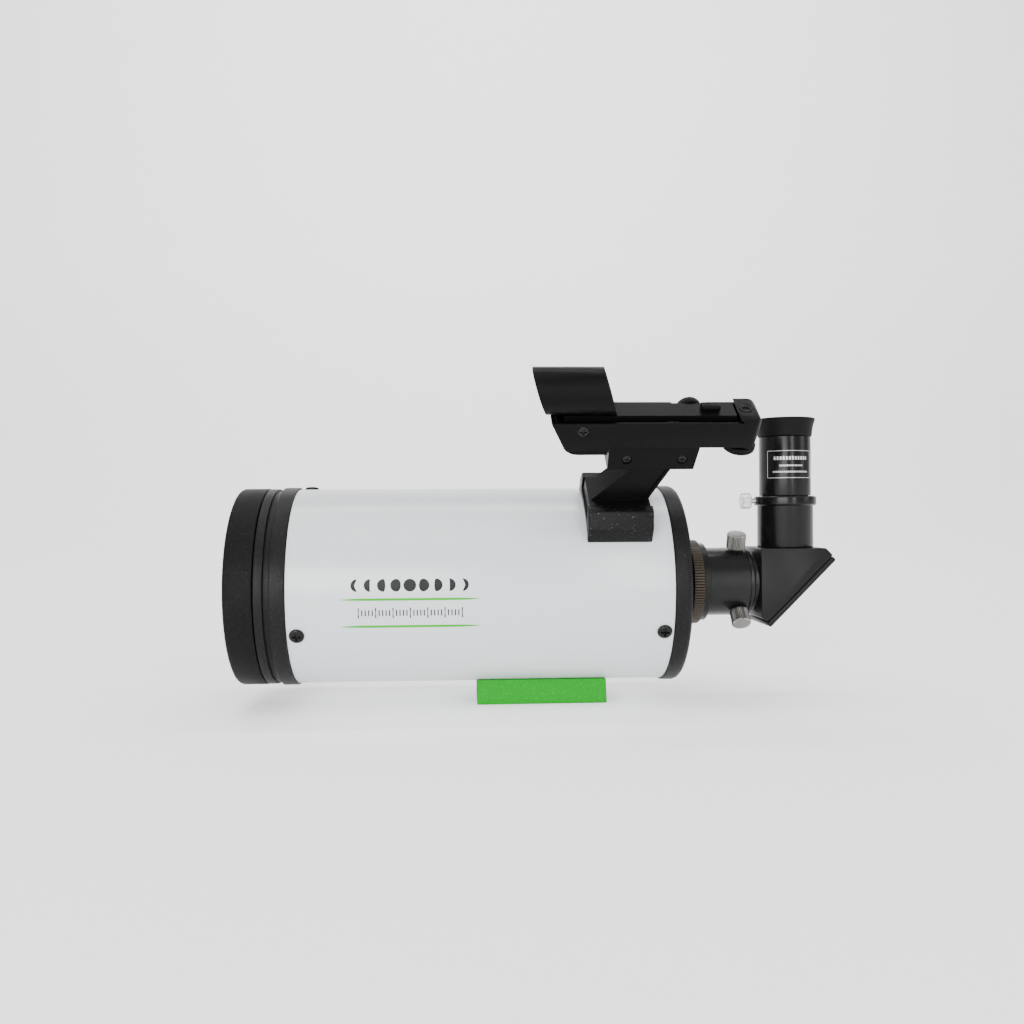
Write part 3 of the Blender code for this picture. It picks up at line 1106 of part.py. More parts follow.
def stalk_corners():
    offsets = (STALK_FRONT_LOW, STALK_REAR_LOW, STALK_FRONT_HIGH, STALK_REAR_HIGH)
    return [SHOE_FRONT + offset for offset in offsets]


def build_finder_foot():
    outline = dovetail_outline(SHOE_TOP, FOOT_DEPTH, FOOT_TOP_HALF_WIDTH, FOOT_SLOPE)
    front = SHOE_FRONT + FOOT_INSET
    rear = SHOE_FRONT + SHOE_LENGTH - FOOT_INSET
    part = plate("finder_foot", outline, front, rear, FINDER, CROSS_SECTION)

    root = SHOE_TOP - FOOT_DEPTH / 2
    head = CLAMP_LOW + STALK_HEAD_SINK
    front_low, rear_low, front_high, rear_high = stalk_corners()
    side = [(front_low, root), (rear_low, root), (rear_low, SHOE_TOP), (rear_high, head), (front_high, head),
            (front_low, SHOE_TOP)]
    join(part, plate("stalk", side, -STALK_HALF_WIDTH, STALK_HALF_WIDTH, FINDER, FLAT_SIDE))

    rise = head - SHOE_TOP
    front_rim = STALK_RIM * math.hypot(rise, front_high - front_low) / rise
    rear_rim = STALK_RIM * math.hypot(rise, rear_high - rear_low) / rise
    low, high = (SHOE_TOP + GAP, CLAMP_LOW - GAP)
    lean = (high - low) / rise
    web = [(front_low + front_rim, low), (rear_low - rear_rim, low),
           (rear_low - rear_rim + (rear_high - rear_low) * lean, high),
           (front_low + front_rim + (front_high - front_low) * lean, high)]
    sunk = STALK_HALF_WIDTH - STALK_WEB_SINK
    cut(part, plate("web_near", web, sunk, STALK_HALF_WIDTH + OVERSHOOT, FINDER, FLAT_SIDE))
    cut(part, plate("web_far", web, -STALK_HALF_WIDTH - OVERSHOOT, -sunk, FINDER, FLAT_SIDE))

    cut(part, box("jaw_room", (CLAMP_FRONT - OVERSHOOT, -STALK_HALF_WIDTH - OVERSHOOT, CLAMP_LOW - GAP),
                  (CLAMP_FRONT + CLAMP_LENGTH, CLAMP_SPLIT + GAP / 2, BASE_UNDERSIDE), FINDER))
    seat = plate("clamp_seat", clamp_outline(), -STALK_HALF_WIDTH, -CLAMP_SPLIT - GAP / 2, FINDER, FLAT_SIDE)
    join(part, seat)
    cut(part, rail_cutter("foot_rail_slot"))
    for x in clamp_screw_places():
        hole(part, SCREW_CLEAR, CLAMP_SPLIT - OVERSHOOT, STALK_HALF_WIDTH + OVERSHOOT, FINDER,
             clamp_screw_frame(x) @ Matrix.Rotation(math.pi, 4, 'X'))
    return paint(part, BLACK_SATIN, 0.4)


def rail_cutter(name):
    return plate(name, rail_outline(GAP, OVERSHOOT), CLAMP_FRONT - OVERSHOOT,
                 CLAMP_FRONT + CLAMP_LENGTH + OVERSHOOT, FINDER, CROSS_SECTION)


def build_clamp_jaw():
    part = plate("finder_clamp_jaw", clamp_outline(), -CLAMP_SPLIT + GAP / 2, STALK_HALF_WIDTH, FINDER, FLAT_SIDE)
    cut(part, rail_cutter("jaw_rail_slot"))
    sunk = STALK_HALF_WIDTH - SCREW_HEAD_HEIGHT
    for x in clamp_screw_places():
        hole(part, SCREW_CLEAR, 0.0, STALK_HALF_WIDTH + OVERSHOOT, FINDER, clamp_screw_frame(x))
        hole(part, SCREW_HEAD_RADIUS + GAP, sunk - GAP, STALK_HALF_WIDTH + OVERSHOOT, FINDER,
             clamp_screw_frame(x), SMALL_STEPS)
    paint(part, BLACK_SATIN, 0.4)
    for number, x in enumerate(clamp_screw_places(), start=1):
        screw = machine_screw(f"finder_clamp_screw_{number}", FINDER, clamp_screw_frame(x), sunk,
                              -STALK_HALF_WIDTH + CLAMP_SCREW_COVER)
        paint(screw, BLACK_SATIN, 0.35, 0.6)


# ---------------------------------------------------------------- finder: base and battery
BULGE_LOW = BASE_UNDERSIDE - BULGE_DEPTH
LID_TOP = BULGE_LOW + BATTERY_LID
FLOOR_TOP = BASE_UNDERSIDE + BASE_FLOOR
YOKE_FRONT = BASE_REAR - YOKE_LENGTH
YOKE_ROOF = ARM_TOP - YOKE_ROOF_THICKNESS
WHEEL_X = BASE_REAR - WHEEL_X_FROM_REAR
BATTERY_X = BULGE_REAR - BATTERY_INSET - GAP - BATTERY_RADIUS
RAIL_REAR = CLAMP_FRONT + CLAMP_LENGTH - RAIL_INSET
BULGE_CENTRE = (BULGE_CENTRE_X, BULGE_LOW + BULGE_ROUND)
CHANNEL_FLOOR_FRONT = BULGE_CENTRE_X - CHANNEL_FLOOR_LEAD
BULGE_FRONT_ANGLE = 200.0


def bulge_curve(lowest, steps):
    """The rounded front of the bulge, from its front slope down to a height."""
    drop = (BULGE_CENTRE[1] - lowest) / BULGE_ROUND
    end = 180.0 + math.degrees(math.asin(min(drop, 1.0)))
    return arc(BULGE_CENTRE, BULGE_ROUND, BULGE_FRONT_ANGLE, end, steps)


def across(x, height):
    """A frame on a cross axis of the finder, its Z pointing to the +Y side."""
    return at(x, 0.0, height) @ Matrix.Rotation(math.radians(-90), 4, 'X')


def base_plan():
    """The base seen from above: square in front, rounded at its rear corners."""
    start = BASE_FRONT - OVERSHOOT - BULGE_ROUND
    side = BASE_HALF_WIDTH + OVERSHOOT
    centre = (BASE_REAR - YOKE_CORNER, BASE_HALF_WIDTH - YOKE_CORNER)
    near = arc((centre[0], -centre[1]), YOKE_CORNER, -90.0, 0.0, 4)
    far = arc(centre, YOKE_CORNER, 0.0, 90.0, 4)
    return [(start, -side), (YOKE_FRONT, -side), (YOKE_FRONT, -BASE_HALF_WIDTH)] + near + far + [
        (YOKE_FRONT, BASE_HALF_WIDTH), (YOKE_FRONT, side), (start, side)]


def build_finder_base():
    split = LID_TOP + GAP
    shoulder = arc((BASE_REAR - YOKE_ROUND, ARM_TOP - YOKE_ROUND), YOKE_ROUND, 0.0, 90.0, 5)
    outline = bulge_curve(split, 4) + [(BULGE_REAR, split), (BULGE_REAR, BASE_UNDERSIDE),
                                       (BASE_REAR - BASE_REAR_LEAN, BASE_UNDERSIDE)]
    outline += shoulder + [(YOKE_FRONT, ARM_TOP), (YOKE_FRONT + YOKE_SLANT, BASE_WALL_TOP),
                           (BASE_FRONT, BASE_WALL_TOP)]
    part = plate("finder_base", outline, -BASE_HALF_WIDTH, BASE_HALF_WIDTH, FINDER, FLAT_SIDE)
    combine(part, plate("base_plan", base_plan(), BULGE_LOW - OVERSHOOT, ARM_TOP + OVERSHOOT, FINDER, Matrix()),
            'INTERSECT')
    bevel(part, FINDER_ROUND, 2, 50.0)
    join(part, plate("rail", rail_outline(0.0, RAIL_ROOT), BULGE_REAR + GAP, RAIL_REAR, FINDER, CROSS_SECTION))

    inside = BASE_HALF_WIDTH - BASE_WALL
    rear = BASE_REAR - YOKE_WALL
    above = ARM_TOP + OVERSHOOT
    channel = [(BASE_FRONT + BASE_FRONT_LEAN, above), (CHANNEL_FLOOR_FRONT, FLOOR_TOP), (rear, FLOOR_TOP),
               (rear, YOKE_ROOF), (YOKE_FRONT + YOKE_SLANT, YOKE_ROOF), (YOKE_FRONT + YOKE_SLANT, BASE_WALL_TOP),
               (YOKE_FRONT - GAP, ARM_TOP), (YOKE_FRONT - GAP, above)]
    cut(part, plate("channel", channel, -inside, inside, FINDER, FLAT_SIDE))

    bay_top = split + 2 * GAP + BATTERY_THICKNESS
    hole(part, BATTERY_RADIUS + GAP, split - OVERSHOOT, bay_top, FINDER, at(BATTERY_X), MEDIUM_STEPS)
    hole(part, PIVOT_SCREW_RADIUS + RUNNING_GAP, -BASE_HALF_WIDTH - OVERSHOOT, BASE_HALF_WIDTH + OVERSHOOT,
         FINDER, across(PIVOT_X, PIVOT_HEIGHT))
    hole(part, PIVOT_HEAD_RADIUS + GAP, -BASE_HALF_WIDTH - OVERSHOOT, -BASE_HALF_WIDTH + PIVOT_HEAD_SINK,
         FINDER, across(PIVOT_X, PIVOT_HEIGHT), SMALL_STEPS)
    hole(part, AZIMUTH_SHANK_RADIUS + RUNNING_GAP, inside - OVERSHOOT, BASE_HALF_WIDTH + OVERSHOOT,
         FINDER, across(AZIMUTH_X, AZIMUTH_HEIGHT))
    reach = DIAL_RADIUS + DIAL_ROOM
    cut(part, box("dial_notch", (DIAL_X - reach, inside - OVERSHOOT, DIAL_HEIGHT - reach),
                  (DIAL_X + reach, BASE_HALF_WIDTH + OVERSHOOT, ARM_TOP), FINDER))
    hole(part, WHEEL_SHANK_RADIUS + RUNNING_GAP, BASE_UNDERSIDE - OVERSHOOT, ARM_TOP + OVERSHOOT,
         FINDER, at(WHEEL_X))
    hole(part, WHEEL_TIP_RADIUS + RUNNING_GAP, ARM_TOP - WHEEL_TIP_HEIGHT + WHEEL_TIP_RISE - GAP, ARM_TOP + OVERSHOOT,
         FINDER, at(WHEEL_X), SMALL_STEPS)
    return paint(part, BLACK_SATIN, 0.45)


def build_battery():
    low = LID_TOP + 2 * GAP
    cell = rod("battery", BATTERY_RADIUS, low, low + BATTERY_THICKNESS, FINDER, at(BATTERY_X), MEDIUM_STEPS)
    paint(bevel(cell, BATTERY_ROUND, 1), SILVER, 0.25, 1.0)
    lid = bulge_curve(LID_TOP, 4)[-1:] + bulge_lid_curve() + [(BULGE_REAR, BULGE_LOW), (BULGE_REAR, LID_TOP)]
    cover = plate("battery_cover", lid, -BASE_HALF_WIDTH, BASE_HALF_WIDTH, FINDER, FLAT_SIDE)
    paint(cover, BLACK_SATIN, 0.5)


def bulge_lid_curve():
    start = 180.0 + math.degrees(math.asin((BULGE_CENTRE[1] - LID_TOP) / BULGE_ROUND))
    return arc(BULGE_CENTRE, BULGE_ROUND, start, 270.0, 3)[1:]


# ---------------------------------------------------------------- finder: aiming arm
def build_pivot_screw():
    name = "finder_pivot_screw"
    seat = BASE_HALF_WIDTH - PIVOT_HEAD_SINK + GAP
    place = across(PIVOT_X, PIVOT_HEIGHT) @ Matrix.Rotation(math.pi, 4, 'X')
    part = machine_screw(name, FINDER, place, seat, -BASE_HALF_WIDTH + GAP, PIVOT_SCREW_RADIUS,
                         PIVOT_HEAD_RADIUS, PIVOT_HEAD_HEIGHT)
    return paint(part, BLACK_SATIN, 0.35, 0.6)


def build_altitude_beam():
    low = FLOOR_TOP + BEAM_LIFT
    half = BEAM_BLOCK_LENGTH / 2
    wide = BEAM_END_HALF_WIDTH
    block_top = ARM_TOP - ARM_THICKNESS - GAP
    part = box("altitude_beam", (PIVOT_X - half, -wide, low), (PIVOT_X + half, wide, block_top), FINDER)
    join(part, box("bar", (PIVOT_X, -BEAM_HALF_WIDTH, low), (WHEEL_X, BEAM_HALF_WIDTH, low + BEAM_THICKNESS), FINDER))
    nut = BEAM_NUT_LENGTH / 2
    join(part, box("nut", (WHEEL_X - nut, -wide, low), (WHEEL_X + nut, wide, low + BEAM_NUT_HEIGHT), FINDER))
    join(part, rod("pin", AZIMUTH_PIN_RADIUS, block_top - JOIN_DEPTH, block_top + AZIMUTH_PIN_LENGTH, FINDER, at(PIVOT_X),
                   SMALL_STEPS))
    hole(part, PIVOT_SCREW_RADIUS + RUNNING_GAP, -wide - OVERSHOOT, wide + OVERSHOOT,
         FINDER, across(PIVOT_X, PIVOT_HEIGHT))
    hole(part, WHEEL_SHANK_RADIUS + RUNNING_GAP, low - OVERSHOOT, low + BEAM_NUT_HEIGHT + OVERSHOOT,
         FINDER, at(WHEEL_X))
    return paint(part, CHARCOAL, 0.5)


def slanted_slab(name, front, length, steps_out):
    """A slab between two planes that lean like the mouths of the sight tube."""
    reach = SIGHT_RADIUS + OVERSHOOT
    lean = reach * math.tan(SIGHT_SLANT)
    outline = [(front - lean, SIGHT_HEIGHT + reach), (front + lean, SIGHT_HEIGHT - reach),
               (front + length + lean, SIGHT_HEIGHT - reach), (front + length - lean, SIGHT_HEIGHT + reach)]
    return plate(name, outline, -steps_out, steps_out, FINDER, FLAT_SIDE)


def build_finder_arm():
    under = ARM_TOP - ARM_THICKNESS
    rear = YOKE_FRONT - ARM_REAR_GAP
    wide = ARM_HALF_WIDTH
    bar = [(ARM_FRONT, under), (rear + YOKE_SLANT / 2, under), (rear, ARM_TOP), (ARM_FRONT, ARM_TOP)]
    part = plate("finder_arm", bar, -wide, wide, FINDER, FLAT_SIDE)
    pad_top = under + ARM_PAD_THICKNESS
    join(part, box("pad", (ARM_PAD_FRONT, -wide, under), (ARM_FRONT + JOIN_DEPTH, wide, pad_top), FINDER))
    join(part, box("pod", (DIAL_X - POD_HALF_LENGTH, -wide + JOIN_DEPTH, under - POD_HEIGHT),
                   (DIAL_X + POD_HALF_LENGTH, wide, under + JOIN_DEPTH), FINDER))
    tab = AZIMUTH_TAB_HALF_LENGTH
    join(part, box("azimuth_tab", (AZIMUTH_X - tab, wide - AZIMUTH_TAB_THICKNESS, AZIMUTH_HEIGHT - AZIMUTH_TAB_DROP),
                   (AZIMUTH_X + tab, wide - AZIMUTH_TAB_SHY, under + JOIN_DEPTH), FINDER))

    bore = SIGHT_RADIUS - SIGHT_WALL
    ahead = SIGHT_FRONT - SIGHT_RADIUS
    behind = SIGHT_FRONT + SIGHT_LENGTH + SIGHT_RADIUS
    tube = turned("sight_tube", [(SIGHT_RADIUS, behind), (SIGHT_RADIUS, ahead), (bore, ahead), (bore, behind)],
                  FINDER, along_x(0.0, SIGHT_HEIGHT), SIGHT_STEPS, closed=True)
    combine(tube, slanted_slab("sight_mouths", SIGHT_FRONT, SIGHT_LENGTH, SIGHT_RADIUS + OVERSHOOT), 'INTERSECT')
    join(part, tube)
    hole(part, AZIMUTH_PIN_RADIUS + RUNNING_GAP, under - OVERSHOOT, under + AZIMUTH_PIN_LENGTH + GAP,
         FINDER, at(PIVOT_X), SMALL_STEPS)
    hole(part, DIAL_AXLE_RADIUS + RUNNING_GAP, wide - DIAL_AXLE_REACH - GAP, wide + OVERSHOOT, FINDER, across(DIAL_X, DIAL_HEIGHT))
    paint(part, BLACK_SATIN, 0.45)

    pane = rod("finder_window", bore - GAP, ahead, behind, FINDER, along_x(0.0, SIGHT_HEIGHT), SIGHT_STEPS)
    slab = slanted_slab("window_faces", SIGHT_FRONT + WINDOW_INSET, WINDOW_THICKNESS, SIGHT_RADIUS + OVERSHOOT)
    paint(combine(pane, slab, 'INTERSECT'), GLASS, 0.02)


def build_finder_controls():
    half = LAMP_LENGTH / 2
    low = ARM_TOP + GAP
    lamp = box("finder_lamp", (LAMP_X - half, -LAMP_HALF_WIDTH, low),
               (LAMP_X + half, LAMP_HALF_WIDTH, low + LAMP_HEIGHT), FINDER)
    bevel(lamp, FINDER_ROUND, 2)
    hole(lamp, LAMP_PORT_RADIUS, LAMP_X - half - OVERSHOOT, LAMP_X - half + LAMP_PORT_DEPTH, FINDER,
         along_x(0.0, low + LAMP_HEIGHT / 2))
    paint(lamp, BLACK_SATIN, 0.4)

    inner = ARM_HALF_WIDTH + GAP
    outer = inner + DIAL_WIDTH
    rim = DIAL_RIM
    dial = [(0.0, outer), (DIAL_RADIUS - rim, outer), (DIAL_RADIUS, outer - rim), (DIAL_RADIUS, inner + rim),
            (DIAL_RADIUS - rim, inner), (DIAL_AXLE_RADIUS, inner), (DIAL_AXLE_RADIUS, inner - DIAL_AXLE_REACH),
            (0.0, inner - DIAL_AXLE_REACH)]
    paint(turned("brightness_dial", dial, FINDER, across(DIAL_X, DIAL_HEIGHT), SMALL_STEPS + 4), BLACK_MATT, 0.6)

    top = BASE_UNDERSIDE - WHEEL_DROP
    collar = WHEEL_SHANK_RADIUS + WHEEL_COLLAR
    tip_low = ARM_TOP - WHEEL_TIP_HEIGHT + WHEEL_TIP_RISE
    rim = WHEEL_RIM
    wheel = [(0.0, tip_low + WHEEL_TIP_HEIGHT), (WHEEL_TIP_RADIUS, tip_low + WHEEL_TIP_HEIGHT),
             (WHEEL_TIP_RADIUS, tip_low), (WHEEL_SHANK_RADIUS, tip_low), (WHEEL_SHANK_RADIUS, BASE_UNDERSIDE - GAP),
             (collar, BASE_UNDERSIDE - GAP), (collar, top), (WHEEL_RADIUS - rim, top), (WHEEL_RADIUS, top - rim),
             (WHEEL_RADIUS, top - WHEEL_THICKNESS + rim), (WHEEL_RADIUS - rim, top - WHEEL_THICKNESS),
             (0.0, top - WHEEL_THICKNESS)]
    part = turned("altitude_wheel", wheel, FINDER, at(WHEEL_X), SMALL_STEPS + 4)
    cross_recess(part, FINDER, at(WHEEL_X), tip_low + WHEEL_TIP_HEIGHT, WHEEL_TIP_RADIUS, WHEEL_RECESS)
    paint(part, BLACK_MATT, 0.6)

    tip = ARM_HALF_WIDTH + AZIMUTH_TRAVEL
    knob = thumb_screw("azimuth_knob", FINDER, across(AZIMUTH_X, AZIMUTH_HEIGHT), BASE_HALF_WIDTH + 2 * GAP,
                       AZIMUTH_KNOB_LENGTH, AZIMUTH_KNOB_RADIUS, tip, AZIMUTH_SHANK_RADIUS)
    paint(knob, BLACK_MATT, 0.6)


# ---------------------------------------------------------------- the whole telescope
clear_scene()
PARTS = make_collection("maksutov_telescope")
CUTTERS = make_collection("cutters")
OPTICS = make_frame("optical_axis", None, at(0.0, 0.0, AXIS_HEIGHT))
FINDER = make_frame("finder_lean", OPTICS, at(TUBE_REAR - FINDER_DATUM) @ Matrix.Rotation(FINDER_LEAN, 4, 'X'))

build_main_tube()
build_ring_screws()
build_front_cell()
build_corrector()
build_secondary()
build_dust_cap()
build_rear_cell()
build_primary_baffle()
build_primary()
build_focuser()
build_dovetail_bar()
build_dovetail_screws()
build_coupling_ring()
build_visual_back()
build_diagonal_housing()
build_diagonal_inside()
build_diagonal_nose()
build_eyepiece_holder()
build_eyepiece()
build_finder_shoe()
build_shoe_screws()
build_finder_foot()
build_clamp_jaw()
build_finder_base()
build_battery()
build_pivot_screw()
build_altitude_beam()
build_finder_arm()
build_finder_controls()

bpy.context.view_layer.update()
solids = [thing for thing in PARTS.objects if thing.type == 'MESH']
finished = [(thing, shade(thing)) for thing in solids]
for thing, mesh in finished:
    thing.modifiers.clear()
    thing.data = mesh
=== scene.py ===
# %% [markdown]
# # A compact telescope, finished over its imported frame
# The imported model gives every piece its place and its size. This lesson turns the round
# pieces again with many more sides, softens the edges of the moulded ones, and then gives
# each surface the paint, rubber, metal or glass of the real thing.

import json
import math

import bmesh
import bpy
from mathutils import Matrix, Vector


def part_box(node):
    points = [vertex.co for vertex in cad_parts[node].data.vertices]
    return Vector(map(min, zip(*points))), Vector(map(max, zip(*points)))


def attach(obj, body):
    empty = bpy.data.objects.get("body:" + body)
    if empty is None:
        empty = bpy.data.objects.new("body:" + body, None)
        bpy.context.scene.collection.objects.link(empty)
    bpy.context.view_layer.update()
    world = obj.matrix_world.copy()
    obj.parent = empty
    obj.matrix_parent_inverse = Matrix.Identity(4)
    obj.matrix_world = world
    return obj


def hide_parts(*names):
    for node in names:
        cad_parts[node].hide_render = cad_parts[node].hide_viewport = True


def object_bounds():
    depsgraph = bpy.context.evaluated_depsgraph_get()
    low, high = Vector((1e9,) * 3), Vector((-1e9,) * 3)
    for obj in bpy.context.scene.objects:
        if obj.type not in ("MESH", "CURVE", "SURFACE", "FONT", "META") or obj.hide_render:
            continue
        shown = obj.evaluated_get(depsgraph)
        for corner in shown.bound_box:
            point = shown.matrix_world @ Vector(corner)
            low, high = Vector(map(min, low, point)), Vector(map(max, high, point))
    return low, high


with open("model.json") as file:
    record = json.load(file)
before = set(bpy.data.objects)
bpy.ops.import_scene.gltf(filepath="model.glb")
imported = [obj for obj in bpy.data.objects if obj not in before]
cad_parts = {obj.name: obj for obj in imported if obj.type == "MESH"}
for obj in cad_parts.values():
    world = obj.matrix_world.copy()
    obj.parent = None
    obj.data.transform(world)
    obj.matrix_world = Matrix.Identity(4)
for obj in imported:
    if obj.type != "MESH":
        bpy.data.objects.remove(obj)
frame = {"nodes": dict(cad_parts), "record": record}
cad_low, cad_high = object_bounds()
bodies = frame["record"]["behaviour"]["bodies"]
BODY_OF = {node: body for body, nodes in bodies.items() for node in nodes}

# %% [markdown]
# ## Where things are
# The optical axis runs through the middle of the main tube. Most pieces are turned about
# it, so one matrix that lays a local Z along the telescope serves them all. The eyepiece
# stands upright on that axis, and the finder leans over by 38 degrees.

# %% Axes
tube_low, tube_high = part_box("main_tube")
AXIS_Z = (tube_low.z + tube_high.z) / 2
TUBE_RADIUS = (tube_high.z - tube_low.z) / 2
ALONG = Matrix.Rotation(math.radians(90), 4, 'Y')
UPRIGHT = Matrix.Identity(4)
LEAN = Matrix.Rotation(math.radians(38), 4, 'X')
ACROSS_LEAN = LEAN @ Matrix.Rotation(math.radians(-90), 4, 'X')
NEAR_LEAN = LEAN @ Matrix.Rotation(math.radians(90), 4, 'X')
TO_THE_FRONT = Matrix.Rotation(math.radians(-90), 4, 'Y')
print("axis height:", round(AXIS_Z, 4), "tube radius:", round(TUBE_RADIUS, 4))


def outwards(degrees):
    """Z points out of the tube, leaned from straight up towards the near side."""
    return Matrix.Rotation(math.radians(degrees), 4, 'X')


def place_of(node, turn):
    """A matrix with its Z on the axis of a node that is round about that direction."""
    back = turn.inverted()
    points = [back @ v.co for v in frame["nodes"][node].data.vertices]
    middle = [(min(p[i] for p in points) + max(p[i] for p in points)) / 2 for i in (0, 1)]
    return turn @ Matrix.Translation((middle[0], middle[1], 0.0))


def span_of(node, place):
    """Largest radius, lowest and highest point of a node about an axis."""
    back = place.inverted()
    points = [back @ v.co for v in frame["nodes"][node].data.vertices]
    heights = [p.z for p in points]
    return max(math.hypot(p.x, p.y) for p in points), min(heights), max(heights)


# %% [markdown]
# ## Reading a profile back
# A turned piece is fully known from one half-section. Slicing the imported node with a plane
# through its axis leaves exactly that outline, which a lathe could follow. Points that lie
# on a straight run are dropped, and each corner is eased with a small curve, because no
# machined or moulded edge is perfectly sharp.

# %% Profiles
HAIR = 0.00001              # anything shorter than this counts as nothing
STRAIGHT = 0.3              # degrees of bend that still count as a straight run
CORNER_SHARE = 0.42         # a corner's curve never takes more of an edge than this


def section_of(node, place):
    """The node's outline as (radius, height) points, and whether the outline closes on itself."""
    cutting = bmesh.new()
    cutting.from_mesh(frame["nodes"][node].data)
    bmesh.ops.transform(cutting, matrix=place.inverted(), verts=cutting.verts)
    bmesh.ops.remove_doubles(cutting, verts=cutting.verts, dist=HAIR / 5)
    everything = cutting.verts[:] + cutting.edges[:] + cutting.faces[:]
    cut = bmesh.ops.bisect_plane(cutting, geom=everything, dist=HAIR / 5,
                                 plane_co=(0, 0, 0), plane_no=(1, 0, 0))
    edges = [e for e in cut["geom_cut"] if isinstance(e, bmesh.types.BMEdge)]
    edges = [e for e in edges if all(v.co.y < HAIR for v in e.verts) and e.calc_length() > HAIR]
    near = {}
    for edge in edges:
        for vert in edge.verts:
            near.setdefault(vert, []).append(edge)
    ends = [vert for vert, touching in near.items() if len(touching) == 1]
    start = ends[0] if ends else max(near, key=lambda vert: -vert.co.y)
    walk, vert, used = [start], start, set()
    while True:
        onward = [e for e in near[vert] if e not in used]
        if not onward:
            break
        used.add(onward[0])
        vert = onward[0].other_vert(vert)
        if vert is start:
            break
        walk.append(vert)
    points = [(max(-v.co.y, 0.0), v.co.z) for v in walk]
    cutting.free()
    return points, not ends


def bend(before, here, after):
    """How far the outline turns at a point, in degrees."""
    first = math.atan2(here[1] - before[1], here[0] - before[0])
    second = math.atan2(after[1] - here[1], after[0] - here[0])
    return abs((math.degrees(second - first) + 180) % 360 - 180)


def tidy(points, closed):
    """Drops the points in the middle of straight runs."""
    kept = []
    count = len(points)
    for i, here in enumerate(points):
        inner = closed or 0 < i < count - 1
        if inner and bend(points[i - 1], here, points[(i + 1) % count]) < STRAIGHT:
            continue
        kept.append(here)
    return kept


def eased(points, closed, reach, threshold=25.0, steps=3):
    """Rounds each corner that turns by more than the threshold."""
    made = []
    count = len(points)
    for i, here in enumerate(points):
        if not closed and i in (0, count - 1):
            made.append(here)
            continue
        before, after = points[i - 1], points[(i + 1) % count]
        if bend(before, here, after) < threshold:
            made.append(here)
            continue
        back = min(reach, CORNER_SHARE * math.dist(before, here)) / math.dist(before, here)
        ahead = min(reach, CORNER_SHARE * math.dist(here, after)) / math.dist(here, after)
        a = [here[k] + (before[k] - here[k]) * back for k in (0, 1)]
        b = [here[k] + (after[k] - here[k]) * ahead for k in (0, 1)]
        for step in range(steps + 1):
            t = step / steps
            made.append(tuple((1 - t) ** 2 * a[k] + 2 * t * (1 - t) * here[k] + t * t * b[k]
                              for k in (0, 1)))
    return made


profile, ring = section_of("front_cell", place_of("front_cell", ALONG))
print("front cell outline:", len(tidy(profile, ring)), "corners, closed:", ring)

# %% [markdown]
# ## The lathe
# The outline is turned about the axis with a few hundred sides, so that even the main
# tube's edge looks round. A rib function can press a knurl into part of the surface: it
# takes the radius, the height and the angle, and gives back a new radius.

# %% Turning
SMOOTH = math.radians(38)


def put_in_scene(name, data):
    """An object that holds the data, linked into the scene."""
    made = bpy.data.objects.new(name, data)
    bpy.context.scene.collection.objects.link(made)
    return made


def mesh_from(shape, name):
    """Turns the finished shape into a mesh and lets the shape go."""
    mesh = bpy.data.meshes.new(name)
    shape.to_mesh(mesh)
    shape.free()
    return mesh


def new_piece(name, mesh, node, material, replace=True):
    """A finished mesh becomes a piece that rides on its node's body."""
    mesh.shade_smooth()
    mesh.set_sharp_from_angle(angle=SMOOTH)
    mesh.materials.append(material)
    piece = put_in_scene(name, mesh)
    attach(piece, BODY_OF[node])
    if replace:
        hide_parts(node)
    return piece


def turned_mesh(name, points, closed, place, sides, rib=None):
    """The outline swept round the place's Z; a point on the axis stays a single point."""
    shape = bmesh.new()
    rings = []
    for radius, height in points:
        if radius < HAIR:
            rings.append([shape.verts.new((0.0, 0.0, height))])
            continue
        row = []
        for side in range(sides):
            angle = 2 * math.pi * side / sides
            r = rib(radius, height, angle) if rib else radius
            row.append(shape.verts.new((r * math.cos(angle), r * math.sin(angle), height)))
        rings.append(row)
    pairs = list(zip(rings, rings[1:])) + ([(rings[-1], rings[0])] if closed else [])
    for first, second in pairs:
        for side in range(sides):
            after = (side + 1) % sides
            corners = [first[side % len(first)], first[after % len(first)],
                       second[after % len(second)], second[side % len(second)]]
            unique = list(dict.fromkeys(corners))
            if len(unique) > 2:
                shape.faces.new(unique)
    bmesh.ops.recalc_face_normals(shape, faces=shape.faces)
    bmesh.ops.transform(shape, matrix=place, verts=shape.verts)
    return mesh_from(shape, name)


def turn_again(node, turn, material, sides=192, reach=0.0005, rib=None):
    """The node turned once more, finer, from its own outline."""
    place = place_of(node, turn)
    points, closed = section_of(node, place)
    points = eased(tidy(points, closed), closed, reach)
    mesh = turned_mesh("fine_" + node, points, closed, place, sides, rib)
    return new_piece("fine_" + node, mesh, node, material)


def knurl(ridges, depth, inner, low, high, flat=0.55):
    """Straight ridges on the surface outside a radius, between two heights."""
    def press(radius, height, angle):
        if radius < inner or not low < height < high:
            return radius
        across = abs((angle * ridges / (2 * math.pi)) % 1.0 - 0.5) * 2
        return radius - depth * max(0.0, (across - flat) / (1 - flat))
    return press


print("lathe ready")

# %% [markdown]
# ## Finishes that several surfaces share
# Three effects come back on many pieces: the fine grain of cast paint and moulded plastic,
# the smudges that hands leave, and the rings that a lathe leaves. Each is one node group
# with its own inputs, and every material sets its own values.

# %% Node groups
VECTOR, VALUE = 'NodeSocketVector', 'NodeSocketFloat'


